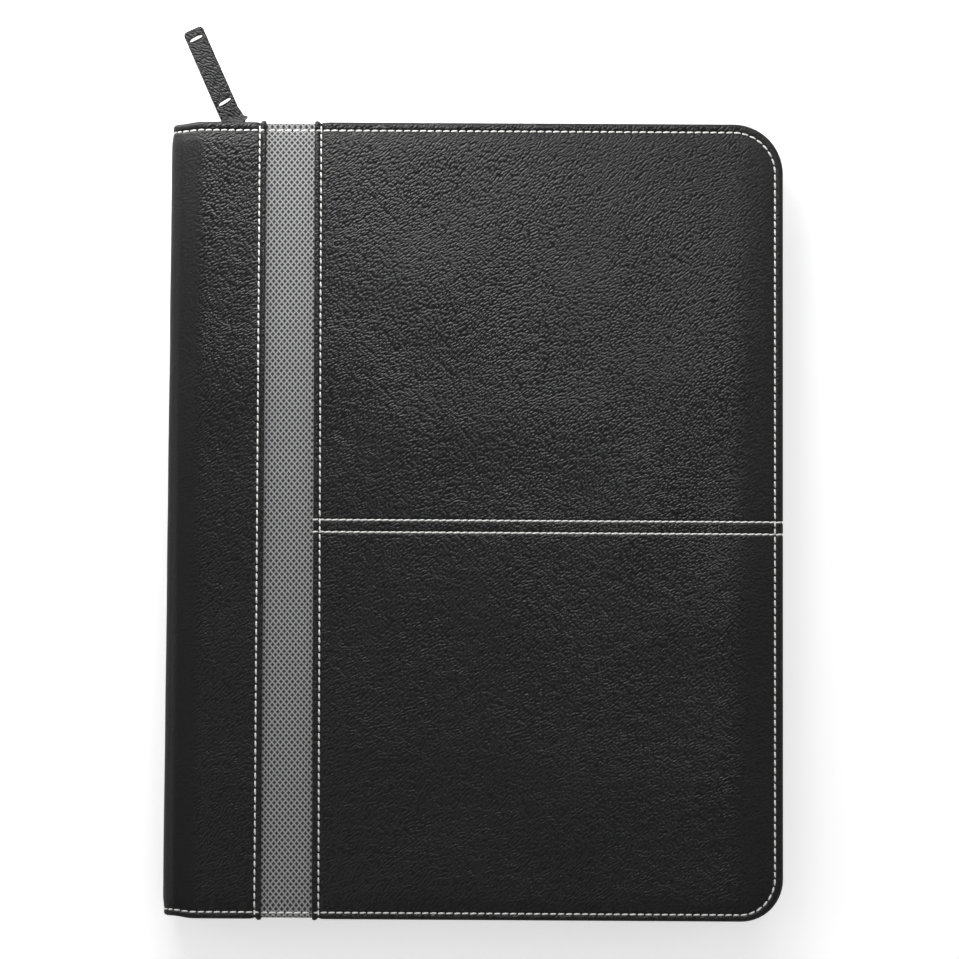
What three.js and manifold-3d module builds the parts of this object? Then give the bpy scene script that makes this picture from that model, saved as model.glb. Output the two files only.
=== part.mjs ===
// Zippered letter padfolio, closed, lying on its back cover.
// Millimetres. +Z is up through the front cover, +Y is the head, +X is the opening edge.
// The origin is the middle of the back cover's flat underside.

import * as THREE from 'three';
import { mergeVertices } from 'three/addons/utils/BufferGeometryUtils.js';
import Module from 'manifold-3d';

const wasm = await Module();
wasm.setup();

// Overall size of the closed case
const COVER_WIDTH = 258;
const COVER_HEIGHT = 334;
const THICKNESS = 28.8;
const HEAD_CORNER_RADIUS = 21;
const FOOT_CORNER_RADIUS = 17.5;
const SPINE_FOLD_RADIUS = 6;
const SPINE_CORNER_RADIUS = 3;

// Sheet thicknesses
const LEATHER = 1.2;
const FOAM = 1.5;
const BOARD = 2;
const LINING = 0.5;
const POCKET_FABRIC = 0.6;
const SPINE_BOARD = 1.2;
const CARD_POCKET_SHEET = 0.5;
const POCKET_SHEET = 0.8;

// Clearances
const SEAT_GAP = 0.3;
const FOLD_SLIT_DEG = 3;
const HINGE_GUTTER = 1;
const FRONT_POCKET_GAP = 0.3;

// Front of the case: flap, grey band and panel
const FLAP_WIDTH = 40.7;
const BAND_WIDTH = 20.8;
const HEM_WIDTH = 2.7;
const HEM_RISE = 0.5;
const HEM_GROOVE = 0.3;
const TURNED_EDGE_RADIUS = 2.2;
const INNER_EDGE_RADIUS = 0.9;
const FABRIC_EDGE_SETBACK = 1.3;

// Zip
const ZIP_INSET = 6.3;
const TAPE = 0.6;
const TAPE_FLANGE = 4.2;
const TAPE_END_INSET = 9;
const TOOTH_PITCH = 4;
const TOOTH_NECK = 1.1;
const TOOTH_HEAD = 1.8;
const TOOTH_REACH = 1;
const TOOTH_THICKNESS = 2.2;
const BEAD_HEIGHT = 1.6;
const STOP_LENGTH = 3;
const STOP_HEIGHT = 3;
const STOP_WALL = 0.9;

// Slider and pull tab
const SLIDER_LENGTH = 15;
const SLIDER_FROM_SPINE = 24.7;
const SLIDER_PLATE = 1.15;
const SLIDER_REAR_WIDTH = 8.4;
const SLIDER_FRONT_WIDTH = 10.6;
const SLIDER_FLANGE = 0.8;
const WEDGE_SETBACK = 1.4;
const WEDGE_LENGTH = 5;
const WEDGE_HEIGHT = 2;
const CROWN_INNER_LENGTH = 9.8;
const CROWN_LEG = 1.3;
const CROWN_WIDTH = 2.2;
const CROWN_BEAM = 1.2;
const TAB_WIDTH = 8;
const TAB_LEATHER = 1.2;
const TAB_LENGTH = 48;
const TAB_LEAN_DEG = 24.2;
const TAB_BEND_LENGTH = 7;
const TAB_FLARE = 1.9;
const TAB_TIP_ROUND = 1.6;

// Writing pad and inside pockets
const PAD_BACKING = 0.9;
const PAD_SHEETS = 5.5;
const PAD_SIDE_PLAY = 1;
const PAD_FROM_SPINE = 31.5;
const PAD_FROM_EDGE = 10.5;
const PAD_FROM_HEAD = 31;
const PAD_FROM_FOOT = 24;
const PAD_PANEL_RIM = 1.5;
const PAD_PANEL_BELOW_HEAD = 24;
const BINDING = 0.4;
const BINDING_DEPTH = 20;
const PEN_LOOP_BORE = 11;
const PEN_LOOP_WALL = 0.9;
const PEN_LOOP_LENGTH = 28;
const PEN_LOOP_FROM_SPINE = 20.5;
const PEN_LOOP_Y = 40;
const DOCUMENT_FROM_SPINE = 14;
const DOCUMENT_FROM_EDGE = 14;
const DOCUMENT_FROM_FOOT = 13;
const DOCUMENT_HEIGHT = 215;
const DOCUMENT_SPACE = 1.2;
const DOCUMENT_RIM = 1.5;
const CARD_POCKET_WIDTH = 98;
const CARD_POCKET_HEIGHT = 58;
const CARD_POCKET_STEP = 14;
const CARD_POCKET_BELOW_MOUTH = 38;
const CARD_POCKET_COUNT = 3;
const CARD_POCKET_RIM = 2;

// Fineness of the curves
const CORNER_STEPS = 9;
const FOLD_STEPS = 5;
const EDGE_STEPS = 3;

// Levels and lines that follow from the sizes above
const HALF_HEIGHT = COVER_HEIGHT / 2;
const SPINE_X = -COVER_WIDTH / 2;
const EDGE_X = COVER_WIDTH / 2;
const FOLD_X = SPINE_X + SPINE_FOLD_RADIUS;
const BACK_FOAM_Z = LEATHER;
const BACK_BOARD_Z = BACK_FOAM_Z + FOAM;
const BACK_LINING_Z = BACK_BOARD_Z + BOARD;
const BACK_INSIDE_Z = BACK_LINING_Z + LINING;
const FRONT_PANEL_Z = THICKNESS - LEATHER;
const FRONT_FABRIC_Z = FRONT_PANEL_Z - FRONT_POCKET_GAP - POCKET_FABRIC;
const FRONT_FOAM_Z = FRONT_FABRIC_Z - FOAM;
const FRONT_BOARD_Z = FRONT_FOAM_Z - BOARD;
const FRONT_INSIDE_Z = FRONT_BOARD_Z - LINING;
const ZIP_Z = (BACK_LINING_Z + FRONT_BOARD_Z) / 2;
const BEAD_Z = BEAD_HEIGHT + TOOTH_REACH + SEAT_GAP;
const LINING_INSET = ZIP_INSET + TAPE / 2 + SEAT_GAP;
const BOARD_X = FOLD_X + HINGE_GUTTER;
const FLAP_HEM_X = SPINE_X + FLAP_WIDTH;
const PANEL_HEM_X = FLAP_HEM_X + BAND_WIDTH;
const SLIDER_X = SPINE_X + SLIDER_FROM_SPINE;
const SLIDER_MOUTH_X = SLIDER_X - SLIDER_LENGTH / 2;
const STOP_X = SLIDER_MOUTH_X - SEAT_GAP - STOP_LENGTH;
const TEETH_HEAD_X = SLIDER_MOUTH_X + WEDGE_SETBACK + WEDGE_LENGTH + SEAT_GAP;
const TEETH_FOOT_X = STOP_X + STOP_LENGTH + SEAT_GAP;

// Solids and booleans

function toSolid(geometry) {
  const bare = geometry.clone();
  bare.deleteAttribute('normal');
  bare.deleteAttribute('uv');
  const merged = mergeVertices(bare, 1e-4);
  return new wasm.Manifold(new wasm.Mesh({
    numProp: 3,
    vertProperties: new Float32Array(merged.attributes.position.array),
    triVerts: new Uint32Array(merged.index.array),
  }));
}

function toGeometry(solid) {
  const mesh = solid.getMesh();
  const geometry = new THREE.BufferGeometry();
  geometry.setAttribute('position', new THREE.BufferAttribute(new Float32Array(mesh.vertProperties), 3));
  geometry.setIndex(new THREE.BufferAttribute(new Uint32Array(mesh.triVerts), 1));
  geometry.computeVertexNormals();
  return geometry;
}

function joined(first, ...others) {
  let solid = toSolid(first);
  for (const other of others) {
    solid = solid.add(toSolid(other));
  }
  return toGeometry(solid);
}

function cut(first, ...tools) {
  let solid = toSolid(first);
  for (const tool of tools) {
    solid = solid.subtract(toSolid(tool));
  }
  return toGeometry(solid);
}

function common(first, second) {
  return toGeometry(toSolid(first).intersect(toSolid(second)));
}

// A box between two corners
function block(x0, x1, y0, y1, z0, z1) {
  const box = new THREE.BoxGeometry(x1 - x0, y1 - y0, z1 - z0);
  box.translate((x0 + x1) / 2, (y0 + y1) / 2, (z0 + z1) / 2);
  return box;
}

// A flat outline in X and Y raised from z0 to z1
function raised(points, z0, z1) {
  const geometry = new THREE.ExtrudeGeometry(new THREE.Shape(points), {
    depth: z1 - z0,
    bevelEnabled: false,
  });
  geometry.translate(0, 0, z0);
  return geometry;
}

// An outline in X and Z carried along Y from y0 to y1
function carriedAlongY(points, y0, y1, holes = []) {
  const shape = new THREE.Shape(points);
  for (const hole of holes) {
    shape.holes.push(new THREE.Path(hole));
  }
  const geometry = new THREE.ExtrudeGeometry(shape, { depth: y1 - y0, bevelEnabled: false });
  geometry.rotateX(Math.PI / 2);
  geometry.translate(0, y1, 0);
  return geometry;
}

// An outline in Y and Z carried along X from x0 to x1
function carriedAlongX(points, x0, x1) {
  const geometry = new THREE.ExtrudeGeometry(new THREE.Shape(points), {
    depth: x1 - x0,
    bevelEnabled: false,
  });
  geometry.rotateY(Math.PI / 2);
  geometry.rotateX(Math.PI / 2);
  geometry.translate(x0, 0, 0);
  return geometry;
}

// A closed surface from points and triangles, turned so that its faces point out
function surfaceOf(points, faces) {
  const volume = faces.reduce((sum, [a, b, c]) => (
    sum + points[a].dot(new THREE.Vector3().crossVectors(points[b], points[c]))
  ), 0);
  const outward = volume > 0 ? faces : faces.map(([a, b, c]) => [a, c, b]);
  const geometry = new THREE.BufferGeometry().setFromPoints(points);
  geometry.setIndex(outward.flat());
  geometry.computeVertexNormals();
  return geometry;
}

// The faces between rings of points, joined side to side, with an outline's triangles at both ends
function lofted(rings, capTriangles = fan(rings[0].length)) {
  const count = rings[0].length;
  const last = (rings.length - 1) * count;
  const faces = [];
  for (let r = 0; r + 1 < rings.length; r += 1) {
    for (let i = 0; i < count; i += 1) {
      const a = r * count + i;
      const b = r * count + ((i + 1) % count);
      faces.push([a, b, b + count]);
      faces.push([a, b + count, a + count]);
    }
  }
  for (const [a, b, c] of capTriangles) {
    faces.push([a, c, b]);
    faces.push([last + a, last + b, last + c]);
  }
  return surfaceOf(rings.flat(), faces);
}

// The triangles of a convex outline
function fan(count) {
  return Array.from({ length: count - 2 }, (_, i) => [0, i + 1, i + 2]);
}

// The triangles of any outline, in the order of its points
function outlineTriangles(points) {
  const triangles = THREE.ShapeUtils.triangulateShape(points, []);
  if (!THREE.ShapeUtils.isClockWise(points)) {
    return triangles;
  }
  return triangles.map(([a, b, c]) => [a, c, b]);
}

// Outlines

function arcPoints(cx, cy, radius, from, to, steps) {
  const points = [];
  for (let i = 0; i <= steps; i += 1) {
    const angle = from + (to - from) * (i / steps);
    points.push(new THREE.Vector2(cx + radius * Math.cos(angle), cy + radius * Math.sin(angle)));
  }
  return points;
}

// The cover seen from the front, drawn in by inset on its head, opening and foot edges
function coverOutline(inset, leftX) {
  const top = HALF_HEIGHT - inset;
  const right = EDGE_X - inset;
  const head = HEAD_CORNER_RADIUS - inset;
  const foot = FOOT_CORNER_RADIUS - inset;
  return [
    new THREE.Vector2(leftX, top),
    new THREE.Vector2(leftX, -top),
    ...arcPoints(right - foot, -top + foot, foot, -Math.PI / 2, 0, CORNER_STEPS),
    ...arcPoints(right - head, top - head, head, 0, Math.PI / 2, CORNER_STEPS),
  ];
}

// The whole closed case seen from the front, with the small corners at the spine
function caseOutline() {
  const r = SPINE_CORNER_RADIUS;
  return [
    ...arcPoints(SPINE_X + r, HALF_HEIGHT - r, r, Math.PI / 2, Math.PI, FOLD_STEPS),
    ...arcPoints(SPINE_X + r, -HALF_HEIGHT + r, r, Math.PI, Math.PI * 1.5, FOLD_STEPS),
    ...coverOutline(0, 0).slice(2),
  ];
}

// Half of a quarter fold of the skin, between two angles about the fold's centre
function foldPiece(centreZ, from, to) {
  const outer = arcPoints(FOLD_X, centreZ, SPINE_FOLD_RADIUS, from, to, FOLD_STEPS);
  const inner = arcPoints(FOLD_X, centreZ, SPINE_FOLD_RADIUS - LEATHER, to, from, FOLD_STEPS);
  return [...outer, ...inner];
}

// The rounded rim of a cover from z0 up to z1: rings that draw in over the edge radii
function edgeRings(leftX, z0, z1, lowRadius, highRadius) {
  const rings = [];
  const ringAt = (inset, z) => coverOutline(inset, leftX).map((p) => new THREE.Vector3(p.x, p.y, z));
  for (let i = 0; i <= EDGE_STEPS; i += 1) {
    const angle = (Math.PI / 2) * (i / EDGE_STEPS);
    rings.push(ringAt(lowRadius * (1 - Math.sin(angle)), z0 + lowRadius * (1 - Math.cos(angle))));
  }
  for (let i = 0; i <= EDGE_STEPS; i += 1) {
    const angle = (Math.PI / 2) * (i / EDGE_STEPS);
    rings.push(ringAt(highRadius * (1 - Math.cos(angle)), z1 - highRadius * (1 - Math.sin(angle))));
  }
  return rings;
}

// Covers

// The skin of one cover: a shallow tray, open towards the spine
function coverTray(leftX, z0, z1, floorLow) {
  const lowRadius = floorLow ? TURNED_EDGE_RADIUS : INNER_EDGE_RADIUS;
  const highRadius = floorLow ? INNER_EDGE_RADIUS : TURNED_EDGE_RADIUS;
  const outside = lofted(edgeRings(leftX, z0, z1, lowRadius, highRadius));
  const hollowLow = floorLow ? z0 + LEATHER : z0 - 1;
  const hollowHigh = floorLow ? z1 + 1 : z1 - LEATHER;
  const hollow = raised(coverOutline(LEATHER, leftX - 1), hollowLow, hollowHigh);
  return cut(outside, hollow);
}

function backCoverLeather() {
  const slit = THREE.MathUtils.degToRad(FOLD_SLIT_DEG / 2);
  const tray = coverTray(FOLD_X, 0, BACK_LINING_Z, true);
  const fold = foldPiece(SPINE_FOLD_RADIUS, Math.PI * 1.25 + slit, Math.PI * 1.5);
  const turn = common(
    carriedAlongY(fold, -HALF_HEIGHT, HALF_HEIGHT),
    raised(caseOutline(), -1, THICKNESS + 1),
  );
  return joined(tray, turn);
}

// The outline of a hemmed sheet in X and Z: a groove at the seam, then a raised bead
// that turns under. The hem edge is at x0 and the sheet runs on towards x1.
function hemProfile(x0, x1, underside) {
  const way = Math.sign(x1 - x0);
  const seam = x0 + way * HEM_WIDTH;
  const at = (dx, z) => new THREE.Vector2(x0 + way * dx, z);
  const points = [
    new THREE.Vector2(x1, THICKNESS),
    new THREE.Vector2(seam + way * 1.2, THICKNESS),
    new THREE.Vector2(seam + way * 0.4, THICKNESS - HEM_GROOVE),
    new THREE.Vector2(seam - way * 0.3, THICKNESS - HEM_GROOVE),
    at(HEM_WIDTH * 0.7, THICKNESS + HEM_RISE * 0.8),
    at(HEM_WIDTH * 0.4, THICKNESS + HEM_RISE),
    at(HEM_WIDTH * 0.12, THICKNESS + HEM_RISE * 0.4),
    at(0, THICKNESS - LEATHER * 0.4),
    at(0, underside + SEAT_GAP / 2),
    at(HEM_WIDTH * 0.12, underside),
    new THREE.Vector2(x1, underside),
  ];
  return way > 0 ? points.reverse() : points;
}

function frontFlapLeather() {
  const slit = THREE.MathUtils.degToRad(FOLD_SLIT_DEG / 2);
  const centreZ = THICKNESS - SPINE_FOLD_RADIUS;
  const fold = foldPiece(centreZ, Math.PI * 0.5, Math.PI * 0.75 - slit);
  const turn = common(
    carriedAlongY(fold, -HALF_HEIGHT, HALF_HEIGHT),
    raised(caseOutline(), -1, THICKNESS + 1),
  );
  const seamX = FLAP_HEM_X - HEM_WIDTH - 2;
  const tray = common(
    coverTray(FOLD_X, FRONT_BOARD_Z, THICKNESS, false),
    block(FOLD_X - 1, seamX, -HALF_HEIGHT - 1, HALF_HEIGHT + 1, 0, THICKNESS + 1),
  );
  const hem = carriedAlongY(
    hemProfile(FLAP_HEM_X, seamX, FRONT_PANEL_Z), -HALF_HEIGHT, HALF_HEIGHT);
  return joined(tray, turn, hem, ...hemEnds(seamX, FLAP_HEM_X));
}

// The hem's skin turned down over the head and foot edges
function hemEnds(x0, x1) {
  const low = FRONT_BOARD_Z;
  const lip = LEATHER;
  return [1, -1].map((side) => {
    const outer = side * HALF_HEIGHT;
    const inner = side * (HALF_HEIGHT - lip);
    return block(x0, x1, Math.min(outer, inner), Math.max(outer, inner), low, FRONT_PANEL_Z + LEATHER / 2);
  });
}

function frontPanelLeather() {
  const seamX = PANEL_HEM_X + HEM_WIDTH + 2;
  const tray = common(
    coverTray(PANEL_HEM_X, FRONT_BOARD_Z, THICKNESS, false),
    block(seamX, EDGE_X + 1, -HALF_HEIGHT - 1, HALF_HEIGHT + 1, 0, THICKNESS + 1),
  );
  const hem = carriedAlongY(
    hemProfile(PANEL_HEM_X, seamX, FRONT_PANEL_Z), -HALF_HEIGHT, HALF_HEIGHT);
  return joined(tray, hem, ...hemEnds(PANEL_HEM_X, seamX));
}

// The grey cloth behind the front pocket, turned down over the head and foot in the open band
function frontPocketFabric() {
  const inset = LEATHER + SEAT_GAP;
  const sheet = raised(coverOutline(inset, BOARD_X), FRONT_FABRIC_Z, FRONT_FABRIC_Z + POCKET_FABRIC);
  const outerY = HALF_HEIGHT - FABRIC_EDGE_SETBACK;
  const innerY = outerY - POCKET_FABRIC;
  const x0 = FLAP_HEM_X + SEAT_GAP;
  const x1 = PANEL_HEM_X - SEAT_GAP;
  const turned = [1, -1].map((side) => block(
    x0, x1,
    Math.min(side * outerY, side * (innerY - 1)), Math.max(side * outerY, side * (innerY - 1)),
    FRONT_FABRIC_Z, FRONT_FABRIC_Z + POCKET_FABRIC,
  ));
  const walls = [1, -1].map((side) => block(
    x0, x1,
    Math.min(side * outerY, side * innerY), Math.max(side * outerY, side * innerY),
    FRONT_BOARD_Z, FRONT_FABRIC_Z + POCKET_FABRIC,
  ));
  return joined(sheet, ...turned, ...walls);
}

// A flat sheet with the cover's outline
function coverSheet(inset, leftX, z0, z1) {
  return raised(coverOutline(inset, leftX), z0, z1);
}

// Spine

function spineLeather() {
  const slit = THREE.MathUtils.degToRad(FOLD_SLIT_DEG / 2);
  const low = SPINE_FOLD_RADIUS;
  const high = THICKNESS - SPINE_FOLD_RADIUS;
  const r = SPINE_FOLD_RADIUS;
  const inner = r - LEATHER;
  const outline = [
    ...arcPoints(FOLD_X, high, r, Math.PI * 0.75 + slit, Math.PI, FOLD_STEPS),
    ...arcPoints(FOLD_X, low, r, Math.PI, Math.PI * 1.25 - slit, FOLD_STEPS),
    ...arcPoints(FOLD_X, low, inner, Math.PI * 1.25 - slit, Math.PI, FOLD_STEPS),
    ...arcPoints(FOLD_X, high, inner, Math.PI, Math.PI * 0.75 + slit, FOLD_STEPS),
  ];
  return common(
    carriedAlongY(outline, -HALF_HEIGHT, HALF_HEIGHT),
    raised(caseOutline(), -1, THICKNESS + 1),
  );
}

// A stiffener or lining that stands on the spine's inner face
function spineSheet(x0, thickness) {
  const y = HALF_HEIGHT - SPINE_CORNER_RADIUS;
  return block(x0, x0 + thickness, -y, y, SPINE_FOLD_RADIUS, THICKNESS - SPINE_FOLD_RADIUS);
}

// Zip

// The run of the zip round three sides. Distance starts at the spine end of the head run.
const zipRun = (() => {
  const startX = SPINE_X + TAPE_END_INSET;
  const y = HALF_HEIGHT - ZIP_INSET;
  const x = EDGE_X - ZIP_INSET;
  const head = HEAD_CORNER_RADIUS - ZIP_INSET;
  const foot = FOOT_CORNER_RADIUS - ZIP_INSET;
  const headLength = x - head - startX;
  const headArc = head * Math.PI / 2;
  const sideLength = 2 * y - head - foot;
  const footArc = foot * Math.PI / 2;
  const footLength = x - foot - startX;
  const marks = [headLength, headArc, sideLength, footArc, footLength];
  return { startX, x, y, head, foot, marks, length: marks.reduce((sum, value) => sum + value, 0) };
})();

// The point at a distance along the run, moved outwards by offset, at height z
function onZipRun(distance, offset, z) {
  const { startX, x, y, head, foot, marks } = zipRun;
  let rest = distance;
  if (rest <= marks[0]) {
    return new THREE.Vector3(startX + rest, y + offset, z);
  }
  rest -= marks[0];
  if (rest <= marks[1]) {
    const angle = Math.PI / 2 - rest / head;
    const r = head + offset;
    return new THREE.Vector3(x - head + r * Math.cos(angle), y - head + r * Math.sin(angle), z);
  }
  rest -= marks[1];
  if (rest <= marks[2]) {
    return new THREE.Vector3(x + offset, y - head - rest, z);
  }
  rest -= marks[2];
  if (rest <= marks[3]) {
    const angle = -rest / foot;
    const r = foot + offset;
    return new THREE.Vector3(x - foot + r * Math.cos(angle), -y + foot + r * Math.sin(angle), z);
  }
  rest -= marks[3];
  return new THREE.Vector3(x - foot - rest, -y - offset, z);
}

// Distances at which a straight-sided section has to turn
function runStations() {
  const stations = [0];
  let start = 0;
  zipRun.marks.forEach((mark, index) => {
    const steps = index === 1 || index === 3 ? CORNER_STEPS : 1;
    for (let i = 1; i <= steps; i += 1) {
      stations.push(start + mark * (i / steps));
    }
    start += mark;
  });
  return stations;
}

// A tape: a wall that stands on the cover's turned edge, with the flange that is sewn down
function zipTape(side) {
  const level = (height) => (side > 0 ? BACK_LINING_Z + height : FRONT_BOARD_Z - height);
  const top = ZIP_Z - BEAD_Z - BACK_LINING_Z;
  const half = TAPE / 2;
  const section = [
    [-half, 0], [-half, top], [half, top], [half, TAPE], [TAPE_FLANGE, TAPE], [TAPE_FLANGE, 0],
  ];
  const rings = runStations().map((distance) => section.map(
    ([offset, height]) => onZipRun(distance, offset, level(height))));
  return lofted(rings, outlineTriangles(section.map(([x, y]) => new THREE.Vector2(x, y))));
}

// A row of teeth on its bead. The two rows stand half a pitch apart and mesh.
// The row is drawn flat, as distance and height, and laid along the run.
function zipTeeth(side) {
  const phase = side > 0 ? 0 : TOOTH_PITCH / 2;
  const first = TEETH_HEAD_X - zipRun.startX + phase;
  const lastEnd = zipRun.length - (TEETH_FOOT_X - zipRun.startX);
  const count = Math.floor((lastEnd - first) / TOOTH_PITCH);
  const low = -BEAD_Z;
  const root = low + BEAD_HEIGHT;
  const tip = TOOTH_REACH;
  const half = TOOTH_THICKNESS / 2;
  const gap = TOOTH_PITCH - TOOTH_NECK;
  const flare = (TOOTH_HEAD - TOOTH_NECK) / 2;
  const points = [];
  const faces = [];
  const put = (distance, height) => {
    for (const offset of [half, -half]) {
      points.push(onZipRun(distance, offset, ZIP_Z + side * height));
    }
    return points.length - 2;
  };
  // Points come in pairs, outer then inner, so a face is given by its outer points
  const tri = (a, b, c) => faces.push([a, b, c], [a + 1, c + 1, b + 1]);
  const wall = (a, b) => faces.push([a, b + 1, a + 1], [a, b, b + 1]);
  let base = put(first, low);
  let rootStart = put(first, root);
  wall(rootStart, base);
  for (let i = 0; i < count; i += 1) {
    const s = first + i * TOOTH_PITCH;
    const isLast = i === count - 1;
    const toothRoot = put(s + gap, root);
    const tipStart = put(s + gap - flare, tip);
    const tipEnd = put(s + TOOTH_PITCH + flare, tip);
    const nextBase = put(s + TOOTH_PITCH, low);
    const nextRoot = put(s + TOOTH_PITCH, root);
    tri(base, rootStart, toothRoot);
    tri(base, toothRoot, nextBase);
    tri(nextBase, toothRoot, nextRoot);
    tri(toothRoot, tipStart, tipEnd);
    tri(toothRoot, tipEnd, nextRoot);
    wall(toothRoot, rootStart);
    wall(tipStart, toothRoot);
    wall(tipEnd, tipStart);
    wall(nextRoot, tipEnd);
    wall(base, nextBase);
    if (isLast) {
      wall(nextBase, nextRoot);
    }
    base = nextBase;
    rootStart = nextRoot;
  }
  return surfaceOf(points, faces);
}

// A metal stop, bent over the edge of the tape next to the first or the last tooth
function zipStop(side, end) {
  const y = end * zipRun.y;
  const half = TAPE / 2;
  const outer = half + STOP_WALL;
  const edge = ZIP_Z - side * BEAD_Z;
  const over = edge + side * STOP_WALL;
  const deep = over - side * STOP_HEIGHT;
  const section = [
    [-outer, deep], [-outer, over], [outer, over], [outer, deep], [half, deep],
    [half, edge], [-half, edge], [-half, deep],
  ].map(([dy, z]) => new THREE.Vector2(y + dy, z));
  return carriedAlongX(section, STOP_X, STOP_X + STOP_LENGTH);
}

// Slider: two shaped plates, held apart by the wedge that parts the rows, with side flanges

function sliderPlan() {
  const rear = SLIDER_REAR_WIDTH / 2;
  const front = SLIDER_FRONT_WIDTH / 2;
  const half = SLIDER_LENGTH / 2;
  const points = [];
  points.push(new THREE.Vector2(half - 1.2, -rear));
  points.push(new THREE.Vector2(half - 0.3, -rear + 0.6));
  points.push(new THREE.Vector2(half, -rear + 1.6));
  points.push(new THREE.Vector2(half, rear - 1.6));
  points.push(new THREE.Vector2(half - 0.3, rear - 0.6));
  points.push(new THREE.Vector2(half - 1.2, rear));
  points.push(new THREE.Vector2(half * 0.1, rear));
  points.push(new THREE.Vector2(-half * 0.35, front - 0.3));
  points.push(new THREE.Vector2(-half + 2.2, front));
  points.push(new THREE.Vector2(-half + 0.7, front - 0.6));
  points.push(new THREE.Vector2(-half, front - 1.8));
  points.push(new THREE.Vector2(-half, WEDGE_HEIGHT));
  points.push(new THREE.Vector2(-half + WEDGE_SETBACK, 0));
  points.push(new THREE.Vector2(-half, -WEDGE_HEIGHT));
  points.push(new THREE.Vector2(-half, -front + 1.8));
  points.push(new THREE.Vector2(-half + 0.7, -front + 0.6));
  points.push(new THREE.Vector2(-half + 2.2, -front));
  points.push(new THREE.Vector2(-half * 0.35, -front + 0.3));
  points.push(new THREE.Vector2(half * 0.1, -rear));
  return points;
}

// A plan in X and Z at the slider's place, given a depth outwards from y0 to y1
function onSlider(points, y0, y1) {
  const geometry = new THREE.ExtrudeGeometry(new THREE.Shape(points), {
    depth: y1 - y0,
    bevelEnabled: false,
  });
  geometry.rotateX(Math.PI / 2);
  geometry.translate(SLIDER_X, zipRun.y + y1, ZIP_Z);
  return geometry;
}

const channel = TOOTH_THICKNESS / 2 + SEAT_GAP;

function zipSlider() {
  const outer = channel + SLIDER_PLATE;
  const slot = TAPE / 2 + SEAT_GAP;
  const plan = sliderPlan();
  const body = onSlider(plan, -outer, outer);
  const half = SLIDER_LENGTH / 2;
  const rear = SLIDER_REAR_WIDTH / 2 - SLIDER_FLANGE;
  const front = SLIDER_FRONT_WIDTH / 2 - SLIDER_FLANGE;
  const hollowPlan = [
    new THREE.Vector2(half + 1, -rear),
    new THREE.Vector2(half + 1, rear),
    new THREE.Vector2(half * 0.1, rear),
    new THREE.Vector2(-half * 0.35, front - 0.3),
    new THREE.Vector2(-half - 1, front),
    new THREE.Vector2(-half - 1, -front),
    new THREE.Vector2(-half * 0.35, -front + 0.3),
    new THREE.Vector2(half * 0.1, -rear),
  ];
  const hollow = onSlider(hollowPlan, -channel, channel);
  const tapeSlot = onSlider([
    new THREE.Vector2(half + 1, -SLIDER_FRONT_WIDTH),
    new THREE.Vector2(half + 1, SLIDER_FRONT_WIDTH),
    new THREE.Vector2(-half - 1, SLIDER_FRONT_WIDTH),
    new THREE.Vector2(-half - 1, -SLIDER_FRONT_WIDTH),
  ], -slot, slot);
  const wedgeFront = -half + WEDGE_SETBACK;
  const wedge = onSlider([
    new THREE.Vector2(wedgeFront + WEDGE_LENGTH, 0),
    new THREE.Vector2(wedgeFront + WEDGE_LENGTH * 0.36, WEDGE_HEIGHT / 2),
    new THREE.Vector2(wedgeFront + WEDGE_LENGTH * 0.1, WEDGE_HEIGHT / 2),
    new THREE.Vector2(wedgeFront, 0),
    new THREE.Vector2(wedgeFront + WEDGE_LENGTH * 0.1, -WEDGE_HEIGHT / 2),
    new THREE.Vector2(wedgeFront + WEDGE_LENGTH * 0.36, -WEDGE_HEIGHT / 2),
  ], -outer + SLIDER_PLATE / 2, outer - SLIDER_PLATE / 2);
  const shell = toSolid(body).subtract(toSolid(hollow)).subtract(toSolid(tapeSlot));
  return toGeometry(shell.add(toSolid(wedge)));
}

// Distance from the plate to the middle of the crown's beam, so that the tab's eye turns free
const eyeBore = Math.hypot(CROWN_BEAM / 2, CROWN_WIDTH / 2) + SEAT_GAP;
const eyeMiddle = eyeBore + TAB_LEATHER / 2;
const beamOut = eyeBore + TAB_LEATHER + SEAT_GAP;
const beamY = zipRun.y + channel + SLIDER_PLATE + beamOut;

// Crown: the arch on the outer plate that holds the tab
function zipSliderCrown() {
  const half = CROWN_INNER_LENGTH / 2;
  const full = half + CROWN_LEG;
  const foot = -beamOut;
  const inner = -CROWN_BEAM / 2;
  const outer = CROWN_BEAM / 2;
  const round = 1.2;
  const outline = [
    new THREE.Vector2(-full, foot),
    new THREE.Vector2(-half, foot),
    new THREE.Vector2(-half, inner),
    new THREE.Vector2(half, inner),
    new THREE.Vector2(half, foot),
    new THREE.Vector2(full, foot),
    ...arcPoints(full - round, outer - round, round, 0, Math.PI / 2, 3),
    ...arcPoints(-full + round, outer - round, round, Math.PI / 2, Math.PI, 3),
  ];
  const geometry = new THREE.ExtrudeGeometry(new THREE.Shape(outline), {
    depth: CROWN_WIDTH,
    bevelEnabled: false,
  });
  geometry.translate(SLIDER_X, beamY, ZIP_Z - CROWN_WIDTH / 2);
  return geometry;
}

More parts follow.
